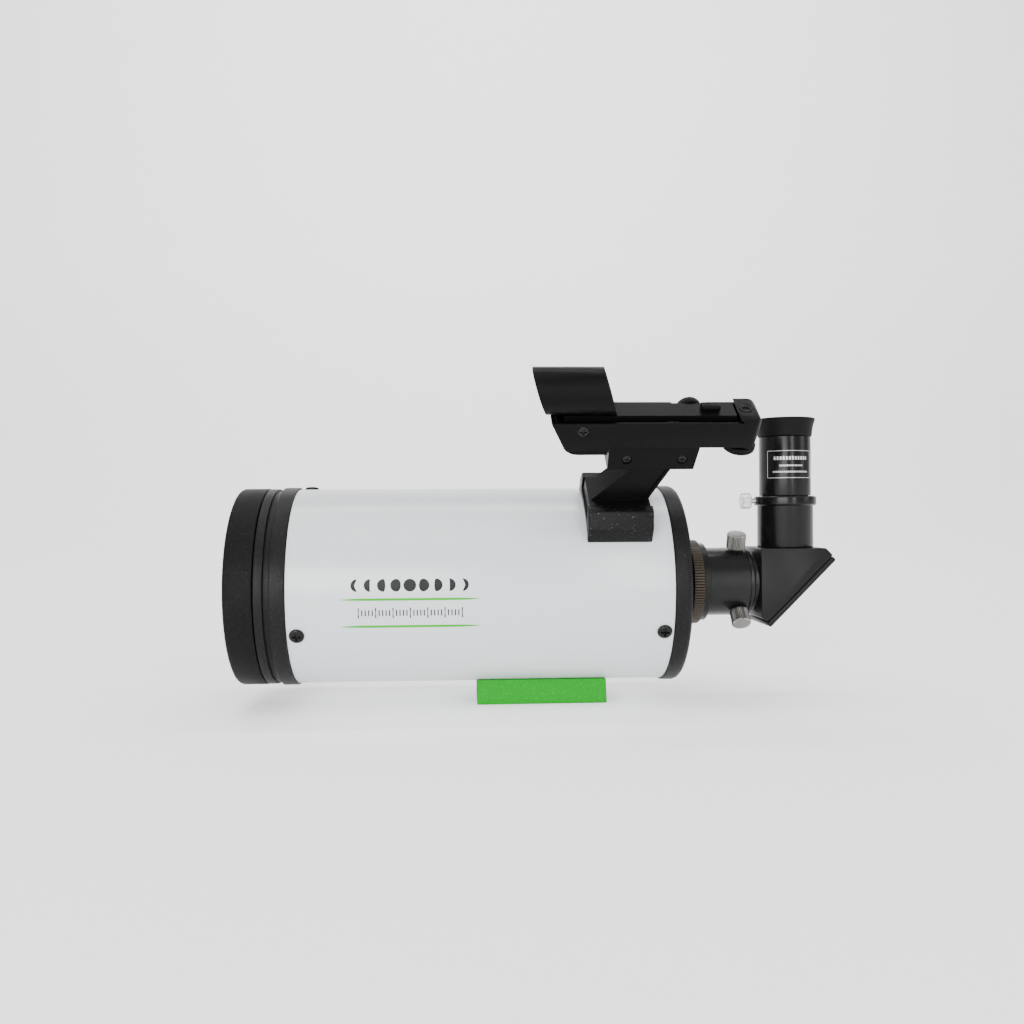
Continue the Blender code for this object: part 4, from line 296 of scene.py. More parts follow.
def new_group(name, inputs, outputs):
    """An empty shader group with its sockets; a socket's value is the one it starts from."""
    group = bpy.data.node_groups.new(name, 'ShaderNodeTree')
    for socket, kind, value in inputs:
        made = group.interface.new_socket(name=socket, in_out='INPUT', socket_type=kind)
        if value is not None:
            made.default_value = value
    for socket, kind in outputs:
        group.interface.new_socket(name=socket, in_out='OUTPUT', socket_type=kind)
    start = group.nodes.new('NodeGroupInput')
    end = group.nodes.new('NodeGroupOutput')
    return group, start, end


def math_node(tree, operation, first, second, third=None):
    node = tree.nodes.new('ShaderNodeMath')
    node.operation = operation
    for socket, value in zip(node.inputs, (first, second, third)):
        if value is None:
            continue
        if isinstance(value, (int, float)):
            socket.default_value = value
        else:
            tree.links.new(value, socket)
    return node.outputs[0]


def noise_node(tree, vector, scale, detail=3.0, rough=0.55):
    node = tree.nodes.new('ShaderNodeTexNoise')
    tree.links.new(vector, node.inputs["Vector"])
    if isinstance(scale, (int, float)):
        node.inputs["Scale"].default_value = scale
    else:
        tree.links.new(scale, node.inputs["Scale"])
    node.inputs["Detail"].default_value = detail
    node.inputs["Roughness"].default_value = rough
    return node.outputs["Fac"]


GRAIN, start, end = new_group(
    "surface_grain",
    [("Vector", VECTOR, None), ("Per Metre", VALUE, 1500.0), ("Speck Level", VALUE, 0.62)],
    [("Height", VALUE), ("Specks", VALUE)])
fine = noise_node(GRAIN, start.outputs["Vector"], start.outputs["Per Metre"], 2.0)
above = math_node(GRAIN, 'SUBTRACT', fine, start.outputs["Speck Level"])
SPECK_EDGE = 14.0           # how sharply a speck begins
specks = math_node(GRAIN, 'MULTIPLY', above, SPECK_EDGE)
clamped = math_node(GRAIN, 'MINIMUM', math_node(GRAIN, 'MAXIMUM', specks, 0.0), 1.0)
GRAIN.links.new(fine, end.inputs["Height"])
GRAIN.links.new(clamped, end.inputs["Specks"])

SMUDGE, start, end = new_group(
    "handling_smudge",
    [("Vector", VECTOR, None), ("Per Metre", VALUE, 60.0), ("Roughness", VALUE, 0.4),
     ("Amount", VALUE, 0.15)],
    [("Roughness", VALUE)])
cloud = noise_node(SMUDGE, start.outputs["Vector"], start.outputs["Per Metre"], 4.0)
centred = math_node(SMUDGE, 'SUBTRACT', cloud, 0.5)
shift = math_node(SMUDGE, 'MULTIPLY', centred, start.outputs["Amount"])
smudged_roughness = math_node(SMUDGE, 'ADD', shift, start.outputs["Roughness"])
SMUDGE.links.new(smudged_roughness, end.inputs["Roughness"])

LATHE, start, end = new_group(
    "lathe_rings", [("Along", VALUE, 0.0), ("Per Metre", VALUE, 6000.0)], [("Height", VALUE)])
ring_noise = LATHE.nodes.new('ShaderNodeTexNoise')
ring_noise.noise_dimensions = '1D'
ring_noise.inputs["Detail"].default_value = 1.0
LATHE.links.new(start.outputs["Along"], ring_noise.inputs["W"])
LATHE.links.new(start.outputs["Per Metre"], ring_noise.inputs["Scale"])
LATHE.links.new(ring_noise.outputs["Fac"], end.inputs["Height"])
print("groups:", [group.name for group in bpy.data.node_groups])

# %% [markdown]
# ## One way to build a finish
# Every finish starts from a Principled shader. Its plain numbers are set on the shader's own
# sockets. What changes over the surface is added after: a smudged roughness, a grain that
# bumps the surface, specks of a second colour, or lathe rings across one direction.

# %% A finish
MIX_A, MIX_B, MIX_RESULT = 6, 7, 2      # a Mix node's colour sockets, which share their names
LATHE_STRENGTH = 0.12


def mixed_colours(tree, first, second, factor, shader):
    """Two colours mixed by a factor that changes over the surface, into Base Color."""
    mixed = tree.nodes.new('ShaderNodeMix')
    mixed.data_type = 'RGBA'
    mixed.inputs[MIX_A].default_value = (*first, 1.0)
    mixed.inputs[MIX_B].default_value = (*second, 1.0)
    tree.links.new(factor, mixed.inputs["Factor"])
    tree.links.new(mixed.outputs[MIX_RESULT], shader.inputs["Base Color"])


def new_finish(name, colour, rough, metal=0.0, grain=0.0, per_metre=1500.0,
               speck=None, speck_level=0.62, smudge=0.12, lathe=None, coat=0.0,
               specular=0.5, grain_depth=0.00006):
    finish = bpy.data.materials.new(name)
    finish.use_nodes = True
    tree = finish.node_tree
    shader = tree.nodes["Principled BSDF"]
    shader.inputs["Base Color"].default_value = (*colour, 1.0)
    shader.inputs["Metallic"].default_value = metal
    shader.inputs["Coat Weight"].default_value = coat
    shader.inputs["Coat Roughness"].default_value = 0.12
    shader.inputs["Specular IOR Level"].default_value = specular
    where = tree.nodes.new('ShaderNodeTexCoord').outputs["Object"]

    smudged = tree.nodes.new('ShaderNodeGroup')
    smudged.node_tree = SMUDGE
    smudged.inputs["Roughness"].default_value = rough
    smudged.inputs["Amount"].default_value = smudge
    tree.links.new(where, smudged.inputs["Vector"])
    tree.links.new(smudged.outputs["Roughness"], shader.inputs["Roughness"])

    height = None
    if grain:
        grained = tree.nodes.new('ShaderNodeGroup')
        grained.node_tree = GRAIN
        grained.inputs["Per Metre"].default_value = per_metre
        grained.inputs["Speck Level"].default_value = speck_level
        tree.links.new(where, grained.inputs["Vector"])
        height = grained.outputs["Height"]
        if speck:
            mixed_colours(tree, colour, speck, grained.outputs["Specks"], shader)
    if lathe:
        split = tree.nodes.new('ShaderNodeSeparateXYZ')
        tree.links.new(where, split.inputs[0])
        rings = tree.nodes.new('ShaderNodeGroup')
        rings.node_tree = LATHE
        tree.links.new(split.outputs[lathe], rings.inputs["Along"])
        height = rings.outputs["Height"]
    if height:
        bump = tree.nodes.new('ShaderNodeBump')
        bump.inputs["Strength"].default_value = grain if grain else LATHE_STRENGTH
        bump.inputs["Distance"].default_value = grain_depth
        tree.links.new(height, bump.inputs["Height"])
        tree.links.new(bump.outputs["Normal"], shader.inputs["Normal"])
    return finish


tube_paint = new_finish(
    "pale_tube_paint", (0.60, 0.62, 0.64), 0.30, grain=0.05, per_metre=260.0, smudge=0.05,
    coat=0.2, grain_depth=0.0002)
cell_paint = new_finish(
    "satin_black_cell_paint", (0.005, 0.005, 0.0054), 0.44, grain=0.55, per_metre=1400.0,
    speck=(0.020, 0.020, 0.020), speck_level=0.60, specular=0.13)
cap_plastic = new_finish(
    "matt_cap_plastic", (0.005, 0.005, 0.005), 0.52, grain=0.5, per_metre=1300.0,
    speck=(0.016, 0.016, 0.016), speck_level=0.60, specular=0.07)
# The bright grey specks on this wrinkled black paint are painted glints, standing for light caught
# on the wrinkles.
wrinkle_paint = new_finish(
    "wrinkled_black_paint_painted_glints", (0.003, 0.003, 0.003), 0.34, grain=1.0, per_metre=900.0,
    speck=(0.13, 0.13, 0.13), speck_level=0.68, grain_depth=0.0005, specular=0.13)
moulding = new_finish(
    "moulded_black_plastic", (0.0025, 0.0025, 0.0025), 0.36, grain=0.25, per_metre=1800.0,
    specular=0.07)
housing_plastic = new_finish(
    "grained_black_housing", (0.006, 0.006, 0.0066), 0.38, grain=0.4, per_metre=1700.0,
    specular=0.16)
anodised = new_finish(
    "black_anodised_metal", (0.007, 0.007, 0.0076), 0.25, lathe="X", smudge=0.04,
    specular=0.20, grain_depth=0.00002)
anodised_upright = new_finish(
    "black_anodised_upright", (0.004, 0.004, 0.0044), 0.23, lathe="Z", smudge=0.04,
    specular=0.20, grain_depth=0.00002)
knurled_steel = new_finish(
    "turned_steel", (0.22, 0.215, 0.205), 0.30, metal=1.0, grain=0.15, per_metre=2500.0)
bright_steel = new_finish(
    "pale_satin_steel", (0.66, 0.66, 0.66), 0.38, metal=0.9, grain=0.2, per_metre=2500.0)
chrome = new_finish("polished_chrome", (0.74, 0.74, 0.75), 0.08, metal=1.0, smudge=0.05)
screw_black = new_finish(
    "blackened_screw", (0.003, 0.003, 0.0033), 0.22, smudge=0.1, specular=0.22)
green_paint = new_finish(
    "green_anodised_grain", (0.0025, 0.25, 0.012), 0.42, grain=0.6, per_metre=1500.0,
    speck=(0.020, 0.38, 0.040), speck_level=0.60, specular=0.06)
rubber = new_finish(
    "soft_black_rubber", (0.0035, 0.0035, 0.0035), 0.55, grain=0.4, per_metre=1500.0,
    specular=0.1)
ribbed = new_finish(
    "ribbed_black_plastic", (0.0035, 0.0035, 0.0035), 0.42, grain=0.3, per_metre=1500.0,
    specular=0.1)
matt_black = new_finish(
    "matt_light_baffle_black", (0.010, 0.010, 0.010), 0.75, smudge=0.05, specular=0.15)
brass = new_finish("turned_brass", (0.55, 0.43, 0.22), 0.3, metal=1.0)
mirror_coat = new_finish("aluminised_mirror", (0.90, 0.91, 0.92), 0.03, metal=1.0, smudge=0.01)
print("finishes:", len(bpy.data.materials))

# %% [markdown]
# ## Coupling ring and glass
# The coupling ring's ridge tops are painted a warm brown, which is a painted highlight and also
# stands for the black coat rubbed through, while the grooves stay black. The distance from the
# optical axis tells ridge from groove. Optical glass is clear with a thin coating that tints what
# it reflects.

# %% Special finishes
coupling_low, coupling_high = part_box("coupling_ring")
KNURL_RADIUS = (coupling_high.z - coupling_low.z) / 2
KNURL_DEPTH = 0.0006
SHEEN_AND_WEAR_FROM, SHEEN_AND_WEAR_TO = 0.75, 0.10     # shares of the knurl's depth, measured from its top
coupling_finish = new_finish(
    "worn_and_highlit_knurl", (0.010, 0.009, 0.008), 0.34, grain=0.3, per_metre=1600.0, specular=0.18)
tree = coupling_finish.node_tree
split = tree.nodes.new('ShaderNodeSeparateXYZ')
tree.links.new(tree.nodes.new('ShaderNodeTexCoord').outputs["Object"], split.inputs[0])
lift = math_node(tree, 'SUBTRACT', split.outputs["Z"], AXIS_Z)
square = math_node(tree, 'ADD', math_node(tree, 'MULTIPLY', lift, lift),
                   math_node(tree, 'MULTIPLY', split.outputs["Y"], split.outputs["Y"]))
radius = math_node(tree, 'SQRT', square, None)
# Brown on the ridge tops is a painted highlight where light catches them, and also stands for
# rubbed-through coat.
sheen_and_wear = tree.nodes.new('ShaderNodeMapRange')
sheen_and_wear.inputs["From Min"].default_value = KNURL_RADIUS - KNURL_DEPTH * SHEEN_AND_WEAR_FROM
sheen_and_wear.inputs["From Max"].default_value = KNURL_RADIUS - KNURL_DEPTH * SHEEN_AND_WEAR_TO
tree.links.new(radius, sheen_and_wear.inputs["Value"])
GROOVE_BLACK, RIDGE_HIGHLIGHT_AND_WEAR_BROWN = (0.006, 0.0055, 0.005), (0.046, 0.035, 0.025)
mixed_colours(tree, GROOVE_BLACK, RIDGE_HIGHLIGHT_AND_WEAR_BROWN, sheen_and_wear.outputs["Result"],
              tree.nodes["Principled BSDF"])


def new_glass(name, tint, rough):
    finish = bpy.data.materials.new(name)
    finish.use_nodes = True
    shader = finish.node_tree.nodes["Principled BSDF"]
    shader.inputs["Base Color"].default_value = (*tint, 1.0)
    shader.inputs["Roughness"].default_value = rough
    shader.inputs["Transmission Weight"].default_value = 1.0
    shader.inputs["IOR"].default_value = 1.5
    shader.inputs["Coat Weight"].default_value = 0.3
    shader.inputs["Coat Tint"].default_value = (0.55, 0.75, 1.0, 1.0)
    return finish


coated_glass = new_glass("coated_optical_glass", (0.93, 0.97, 0.96), 0.01)
window_glass = new_glass("finder_window_glass", (0.80, 0.90, 0.96), 0.02)
print("coupling ring radius:", round(KNURL_RADIUS, 4))

# %% [markdown]
# ## Main tube, its end rings and the cap
# The tube is a plain rolled and painted sheet. The rings at its ends are cast and painted
# satin black, and the dust cap is a matt moulding. All are turned again from their outlines.

# %% Tube, rings and cap
tube_place = place_of("main_tube", ALONG)
turn_again("main_tube", ALONG, tube_paint, 288, 0.0003)
turn_again("front_cell", ALONG, cell_paint, 288, 0.0006)
turn_again("rear_cell", ALONG, cell_paint, 288, 0.0011)
turn_again("dust_cap", ALONG, cap_plastic, 288, 0.0009)
print("tube length:", round(tube_high.x - tube_low.x, 4))

# %% [markdown]
# ## Glass, mirrors and light baffles
# With the cap off, these show through the front: the deep meniscus with its small mirror
# spot and baffle, and the main mirror far behind it with a long baffle tube at its centre.

# %% Optics
OPTICS = (("corrector_lens", coated_glass), ("corrector_retaining_ring", cell_paint),
          ("secondary_mirror", mirror_coat), ("secondary_baffle", matt_black),
          ("primary_baffle", matt_black), ("primary_mirror", mirror_coat),
          ("mirror_retaining_ring", knurled_steel), ("focus_bush", brass),
          ("focus_shaft", knurled_steel))
for node, finish in OPTICS:
    turn_again(node, ALONG, finish, 144, 0.0003)
turn_again("eye_lens", UPRIGHT, coated_glass, 96, 0.0002)

# %% [markdown]
# ## Coupling ring and visual back
# A straight knurl lets fingers tighten the coupling ring. Its ridges are pressed in by the
# lathe's rib function, only on the wide part of the ring.

# %% Coupling ring and visual back
COUPLING_RIDGES = 96
SIDES_PER_RIDGE = 8
coupling_press = knurl(COUPLING_RIDGES, KNURL_DEPTH, KNURL_RADIUS - 0.0009,
                       coupling_low.x - 0.01, coupling_high.x)
turn_again("coupling_ring", ALONG, coupling_finish, COUPLING_RIDGES * SIDES_PER_RIDGE, 0.0004,
           coupling_press)
turn_again("visual_back", ALONG, anodised, 192, 0.0004)
turn_again("diagonal_nose", ALONG, anodised, 144, 0.0003)
print("ridge pitch in mm:", round(2 * math.pi * KNURL_RADIUS / COUPLING_RIDGES * 1000, 2))

# %% [markdown]
# ## Thumbscrews and knobs
# Each thumbscrew has a fine knurl round its head and a plain neck. The knobs of the focuser
# and the finder have wider ribs, moulded for grip.

# %% Thumbscrews and knobs
def gripped(node, turn, material, ridges, depth, margin=0.0009, reach=0.0004, flat=0.35):
    place = place_of(node, turn)
    widest, low, high = span_of(node, place)
    press = knurl(ridges, depth, widest - margin, low, high, flat)
    return turn_again(node, turn, material, ridges * 6, reach, press)


gripped("visual_back_screw_1", outwards(20), knurled_steel, 40, 0.00032)
gripped("visual_back_screw_2", outwards(140), knurled_steel, 40, 0.00032)
gripped("eyepiece_lock_screw", TO_THE_FRONT, bright_steel, 26, 0.00035)
gripped("finder_lock_screw", ACROSS_LEAN, bright_steel, 24, 0.00035)
gripped("focus_knob", ALONG, rubber, 36, 0.0006, reach=0.0008)
gripped("altitude_wheel", LEAN, ribbed, 40, 0.0004)
gripped("azimuth_knob", ACROSS_LEAN, ribbed, 28, 0.0003)
gripped("brightness_dial", ACROSS_LEAN, ribbed, 36, 0.0003)

# %% [markdown]
# ## Eyepiece and its holder
# These are turned and anodised, with polish left on the barrel. The eyecup is soft rubber
# with a straight band below and a flared rim above.

# %% Eyepiece
turn_again("eyepiece_holder", UPRIGHT, anodised_upright, 192, 0.0003)
turn_again("eyepiece_body", UPRIGHT, anodised_upright, 192, 0.0003)
turn_again("eyepiece_barrel", UPRIGHT, chrome, 128, 0.0003)
turn_again("eyecup", UPRIGHT, rubber, 192, 0.0005)

# %% [markdown]
# ## Moulded and milled pieces
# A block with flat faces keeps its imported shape. A copy of the node is cleaned of needless
# edges and gets a narrow bevel, so that its edges catch the light as real ones do.

# %% Softened blocks
FLAT = 0.5                  # degrees between faces that still count as one flat face


def softened(node, material, width=0.0003, angle=50.0, segments=2):
    shape = bmesh.new()
    shape.from_mesh(frame["nodes"][node].data)
    bmesh.ops.remove_doubles(shape, verts=shape.verts, dist=HAIR / 5)
    bmesh.ops.dissolve_limit(shape, angle_limit=math.radians(FLAT), verts=shape.verts,
                             edges=shape.edges)
    mesh = mesh_from(shape, "soft_" + node)
    piece = new_piece("soft_" + node, mesh, node, material)
    edge = piece.modifiers.new("Worn edge", 'BEVEL')
    edge.width = width
    edge.segments = segments
    edge.limit_method = 'ANGLE'
    edge.angle_limit = math.radians(angle)
    edge.harden_normals = True
    return piece


softened("dovetail_bar", green_paint, 0.0004)
softened("diagonal_housing", housing_plastic, 0.0003)
softened("diagonal_cover", housing_plastic, 0.0003)
softened("finder_shoe", wrinkle_paint, 0.0004)
softened("finder_foot", moulding, 0.0003)
softened("finder_clamp_jaw", moulding, 0.0003)
softened("finder_base", moulding, 0.0003)
softened("battery_cover", moulding, 0.0003)
softened("finder_arm", moulding, 0.0002)
softened("finder_lamp", moulding, 0.0002)

# A finer shape would add little to these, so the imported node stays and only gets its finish.
KEPT_AS_PACKED = (("altitude_beam", moulding), ("battery", knurled_steel),
                  ("finder_window", window_glass), ("diagonal_mirror", mirror_coat),
                  ("mirror_carrier", knurled_steel), ("field_lens", coated_glass),
                  ("corrector_gasket", rubber), ("lens_spacer", matt_black),
                  ("finder_shoe_screw_1", screw_black), ("finder_shoe_screw_2", screw_black))
for node, finish in KEPT_AS_PACKED:
    kept = frame["nodes"][node]
    kept.data.materials.clear()
    kept.data.materials.append(finish)

# %% [markdown]
# ## Sight tube
# The finder's round tube is cut at a slant at both ends. A smooth sleeve, as wide as the
# packed tube's corners and a twentieth of a millimetre longer at each end, covers its flat
# sides. Each rim is computed from the slant, so that the mouths stay flat.

# %% Sight tube
SIGHT = {"radius": 0.0133, "bore": 0.01188, "height": 0.1435, "front": -0.00585,
         "length": 0.0397, "slant": 18.7}
SIGHT_SIDES = 144


def sight_rim(radius, base, inset):
    """One ring of points in the plane of a mouth, moved along the tube by the inset."""
    rim = []
    for side in range(SIGHT_SIDES):
        angle = 2 * math.pi * side / SIGHT_SIDES
        up = radius * math.sin(angle)
        along = base - math.tan(math.radians(SIGHT["slant"])) * up + inset
        rim.append(Vector((along, radius * math.cos(angle), SIGHT["height"] + up)))
    return rim


soft = 0.0003
rear = SIGHT["front"] + SIGHT["length"]
wide, narrow = SIGHT["radius"], SIGHT["bore"]
front = SIGHT["front"]
rims = [sight_rim(wide, front, soft), sight_rim(wide, rear, -soft),
        sight_rim(wide - soft, rear, 0.0), sight_rim(narrow + soft, rear, 0.0),
        sight_rim(narrow, rear, -soft), sight_rim(narrow, front, soft),
        sight_rim(narrow + soft, front, 0.0), sight_rim(wide - soft, front, 0.0)]
shape = bmesh.new()
rows = [[shape.verts.new(point) for point in rim] for rim in rims]
for first, second in zip(rows, rows[1:] + rows[:1]):
    for side in range(SIGHT_SIDES):
        after = (side + 1) % SIGHT_SIDES
        shape.faces.new((first[side], first[after], second[after], second[side]))
bmesh.ops.recalc_face_normals(shape, faces=shape.faces)
finder_place = Matrix.Translation((0, 0, AXIS_Z)) @ LEAN
bmesh.ops.transform(shape, matrix=finder_place, verts=shape.verts)
sleeve = mesh_from(shape, "sight_sleeve")
new_piece("sight_sleeve", sleeve, "finder_arm", moulding, replace=False)
print("sight tube length in mm:", round(SIGHT["length"] * 1000, 1))

# %% [markdown]
# ## Screws
# A pan-head screw has a low dome with a cross-shaped recess. The dome is turned finely, and
# two crossed blades are cut out of it. The same maker serves every screw but the
# thumbscrews and the two in the finder's shoe.

# %% Screws
DOME_STEPS = 7
BLADE_LENGTH, BLADE_WIDTH, BLADE_HEIGHT = 1.15, 0.26, 0.7       # shares of the head's radius


def cross_screw(node, turn, material, dome=0.45, sides=48):
    place = place_of(node, turn)
    head, tip, top = span_of(node, place)
    shank = head * 0.5
    low = top - head * dome
    outline = [(0.0, top)]
    for step in range(1, DOME_STEPS + 1):
        angle = math.radians(90 * step / DOME_STEPS)
        outline.append((head * math.sin(angle) * 0.985,
                        low + (top - low) * (0.35 + 0.65 * math.cos(angle))))
    outline += [(head, low + (top - low) * 0.25), (head * 0.97, low), (shank, low),
                (shank, tip), (0.0, tip)]
    mesh = turned_mesh("fine_" + node, outline, False, place, sides)
    piece = new_piece("fine_" + node, mesh, node, material)
    cutter_shape = bmesh.new()
    for turned_by in (0.0, 90.0):
        size = (head * BLADE_LENGTH, head * BLADE_WIDTH, head * BLADE_HEIGHT)
        blade = Matrix.Translation((0, 0, top)) @ Matrix.Rotation(math.radians(turned_by), 4, 'Z')
        made = bmesh.ops.create_cube(cutter_shape, size=1.0)
        bmesh.ops.transform(cutter_shape, matrix=place @ blade @ Matrix.Diagonal((*size, 1.0)),
                            verts=made["verts"])
    blades = put_in_scene("blades", mesh_from(cutter_shape, "blades"))
    recess = piece.modifiers.new("Recess", 'BOOLEAN')
    recess.operation = 'DIFFERENCE'
    recess.use_self = True
    recess.object = blades
    bpy.context.view_layer.update()
    evaluated = piece.evaluated_get(bpy.context.evaluated_depsgraph_get())
    cut = bpy.data.meshes.new_from_object(evaluated)
    piece.modifiers.clear()
    piece.data = cut
    cut.set_sharp_from_angle(angle=SMOOTH)
    bpy.data.objects.remove(blades)
    return piece


RING_SCREW_ANGLES = (114.0, -6.0, -126.0)
screws = []
for number, degrees in enumerate(RING_SCREW_ANGLES, start=1):
    screws.append(cross_screw(f"front_ring_screw_{number}", outwards(degrees), screw_black))
    screws.append(cross_screw(f"rear_ring_screw_{number}", outwards(degrees), screw_black))
for number in (1, 2):
    screws.append(cross_screw(f"dovetail_screw_{number}", outwards(180.0), knurled_steel))
    screws.append(cross_screw(f"finder_clamp_screw_{number}", NEAR_LEAN, screw_black))
screws.append(cross_screw("finder_pivot_screw", NEAR_LEAN, screw_black, dome=0.35))
print("cross-headed screws made:", len(screws))

# %% [markdown]
# ## Printed lines
# The tube carries thin green pinstripes that taper at their ends, and plain black marks.
# The marks here are a generic row of moon phases and a ruled scale. Ink is modelled as a
# film a few hundredths of a millimetre thick, wrapped round the cylinder it is printed on.

# %% Printing
INK = 0.00005               # how far the film stands out
SUNK = 0.00020              # how far it reaches below the painted surface


def printed(name, outlines, node, place, radius, material):
    """Flat outlines of (along, around) in metres, wrapped round an axis as a closed film."""
    shape = bmesh.new()
    for outline in outlines:
        middle = [sum(p[k] for p in outline) / len(outline) for k in (0, 1)]
        films = []
        for r in (radius + INK, radius - SUNK):
            corners = []
            for along, around in [middle] + list(outline):
                angle = around / radius
                corners.append(shape.verts.new((r * math.cos(angle), r * math.sin(angle), along)))
            films.append(corners)
        top, bottom = films
        count = len(outline)
        for i in range(1, count + 1):
            j = i % count + 1
            shape.faces.new((top[0], top[i], top[j]))
            shape.faces.new((bottom[0], bottom[j], bottom[i]))
            shape.faces.new((top[j], top[i], bottom[i], bottom[j]))
    bmesh.ops.recalc_face_normals(shape, faces=shape.faces)
    bmesh.ops.transform(shape, matrix=place, verts=shape.verts)
    return new_piece(name, mesh_from(shape, name), node, material, replace=False)


def disc(along, around, radius, steps=28):
    return [(along + radius * math.cos(2 * math.pi * i / steps),
             around + radius * math.sin(2 * math.pi * i / steps)) for i in range(steps)]


def crescent(along, around, radius, share, steps=14):
    """A moon of which only part is lit; share runs from -1 to 1."""
    rim = [math.radians(-90 + 180 * i / steps) for i in range(steps + 1)]
    side = 1 if share >= 0 else -1
    outer = [(along + side * radius * math.cos(a), around + radius * math.sin(a)) for a in rim]
    inner = [(along + side * (1 - 2 * abs(share)) * radius * math.cos(a),
              around + radius * math.sin(a)) for a in reversed(rim[1:-1])]
    return outer + inner


def stripe(start, finish, around, thick, parts=16):
    """A thin line whose ends taper, cut into short pieces."""
    made = []
    for i in range(parts):
        a, b = i / parts, (i + 1) / parts
        half = [thick / 2 * max(0.15, 1 - abs(2 * t - 1) ** 8) for t in (a, b)]
        x = [start + (finish - start) * t for t in (a, b)]
        made.append([(x[0], around - half[0]), (x[1], around - half[1]),
                     (x[1], around + half[1]), (x[0], around + half[0])])
    return made


def bar(along, around, length, height):
    """A plain rectangle round its own middle."""
    return [(along - length / 2, around - height / 2), (along + length / 2, around - height / 2),
            (along + length / 2, around + height / 2), (along - length / 2, around + height / 2)]


green_ink = new_finish("green_ink", (0.02, 0.38, 0.004), 0.4, smudge=0.02, specular=0.25)
black_ink = new_finish("black_ink", (0.004, 0.004, 0.004), 0.35, smudge=0.02, specular=0.2)
silver_ink = new_finish("silver_ink", (0.55, 0.55, 0.56), 0.35, metal=0.4, smudge=0.02)

# The near side of the tube faces -Y, which is a quarter turn from the local X of ALONG.
NEAR = -math.pi / 2 * TUBE_RADIUS


def on_tube(degrees_up):
    """The way round the tube to a line that is so many degrees above its near side."""
    return NEAR - math.radians(degrees_up) * TUBE_RADIUS


STRIPE_FROM, STRIPE_TO = -0.1195, -0.0390
MOONS, MOON_RADIUS, FIRST_MOON, MOON_PITCH = 9, 0.0037, -0.1098, 0.0076
TICKS, FIRST_TICK, TICK_PITCH, TICK_WIDTH = 31, -0.1092, 0.0020, 0.0007
LONG_TICK, SHORT_TICK = 0.0062, 0.0036

lines = stripe(STRIPE_FROM, STRIPE_TO, on_tube(-3.7), 0.0014)
lines += stripe(STRIPE_FROM, STRIPE_TO, on_tube(-19.0), 0.0015)
printed("tube_pinstripes", lines, "main_tube", tube_place, TUBE_RADIUS, green_ink)
moons = []
full_moon = MOONS // 2
for number in range(MOONS):
    share = (number - full_moon) / full_moon
    if number == full_moon:
        moon = disc(0, 0, MOON_RADIUS)
    else:
        moon = crescent(0, 0, MOON_RADIUS, math.copysign(1 - abs(share) * 0.7, share))
    moons.append([(FIRST_MOON + MOON_PITCH * number + p[0], on_tube(4.0) + p[1]) for p in moon])
ticks = [bar(FIRST_TICK + TICK_PITCH * k, on_tube(-11.2), TICK_WIDTH,
             LONG_TICK if k % 5 == 0 else SHORT_TICK) for k in range(TICKS)]
printed("tube_marks", moons + ticks, "main_tube", tube_place, TUBE_RADIUS, black_ink)
print("tube outlines:", len(lines) + len(moons) + len(ticks))

# %% [markdown]
# ## Eyepiece label
# A fine silver frame with plain bars stands on the eyepiece's body in place of its lettering.

# %% Label
eyepiece_place = place_of("eyepiece_body", UPRIGHT)
eyepiece_radius, body_low, body_high = span_of("eyepiece_body", eyepiece_place)
LABEL_LOW, LABEL_HIGH = AXIS_Z + 0.0667, AXIS_Z + 0.0839
LABEL_LEFT, LABEL_RIGHT = -59.0, 51.0
LINE = 0.00030
FRAME_CELLS = 24            # short bars that follow the curve better than one long one


def on_eyepiece(degrees):
    return eyepiece_radius * math.radians(-90 + degrees)


frame_lines = []
for k in range(FRAME_CELLS):
    middle = LABEL_LEFT + (LABEL_RIGHT - LABEL_LEFT) * (k + 0.5) / FRAME_CELLS
    width = eyepiece_radius * math.radians((LABEL_RIGHT - LABEL_LEFT) / FRAME_CELLS)
    for height in (LABEL_LOW, LABEL_HIGH):
        frame_lines.append(bar(height, on_eyepiece(middle), LINE, width))
for side in (LABEL_LEFT, LABEL_RIGHT):
    frame_lines.append(bar((LABEL_LOW + LABEL_HIGH) / 2, on_eyepiece(side),
                           LABEL_HIGH - LABEL_LOW, LINE))
ROWS = ((0.0125, 0.0022, 40), (0.0078, 0.0010, 27), (0.0038, 0.0010, 42))
ROW_CENTRE = -4
BAR_SHARE = 0.62            # the rest of each cell stays bare
for row, (height, thick, half_width) in enumerate(ROWS):
    cells = 12 + 4 * row
    for k in range(cells):
        middle = ROW_CENTRE - half_width + 2 * half_width * (k + 0.5) / cells
        width = eyepiece_radius * math.radians(2 * half_width / cells) * BAR_SHARE
        frame_lines.append(bar(LABEL_LOW + height, on_eyepiece(middle), thick, width))
printed("eyepiece_label", frame_lines, "eyepiece_body", eyepiece_place, eyepiece_radius, silver_ink)
print("label outlines:", len(frame_lines))

# %% [markdown]
# ## Floor and light
# A pale sheet runs from under the telescope up behind it, so that no corner shows. Large
# soft lights above and in front give the tube its even shade and the black pieces long,
# quiet highlights.

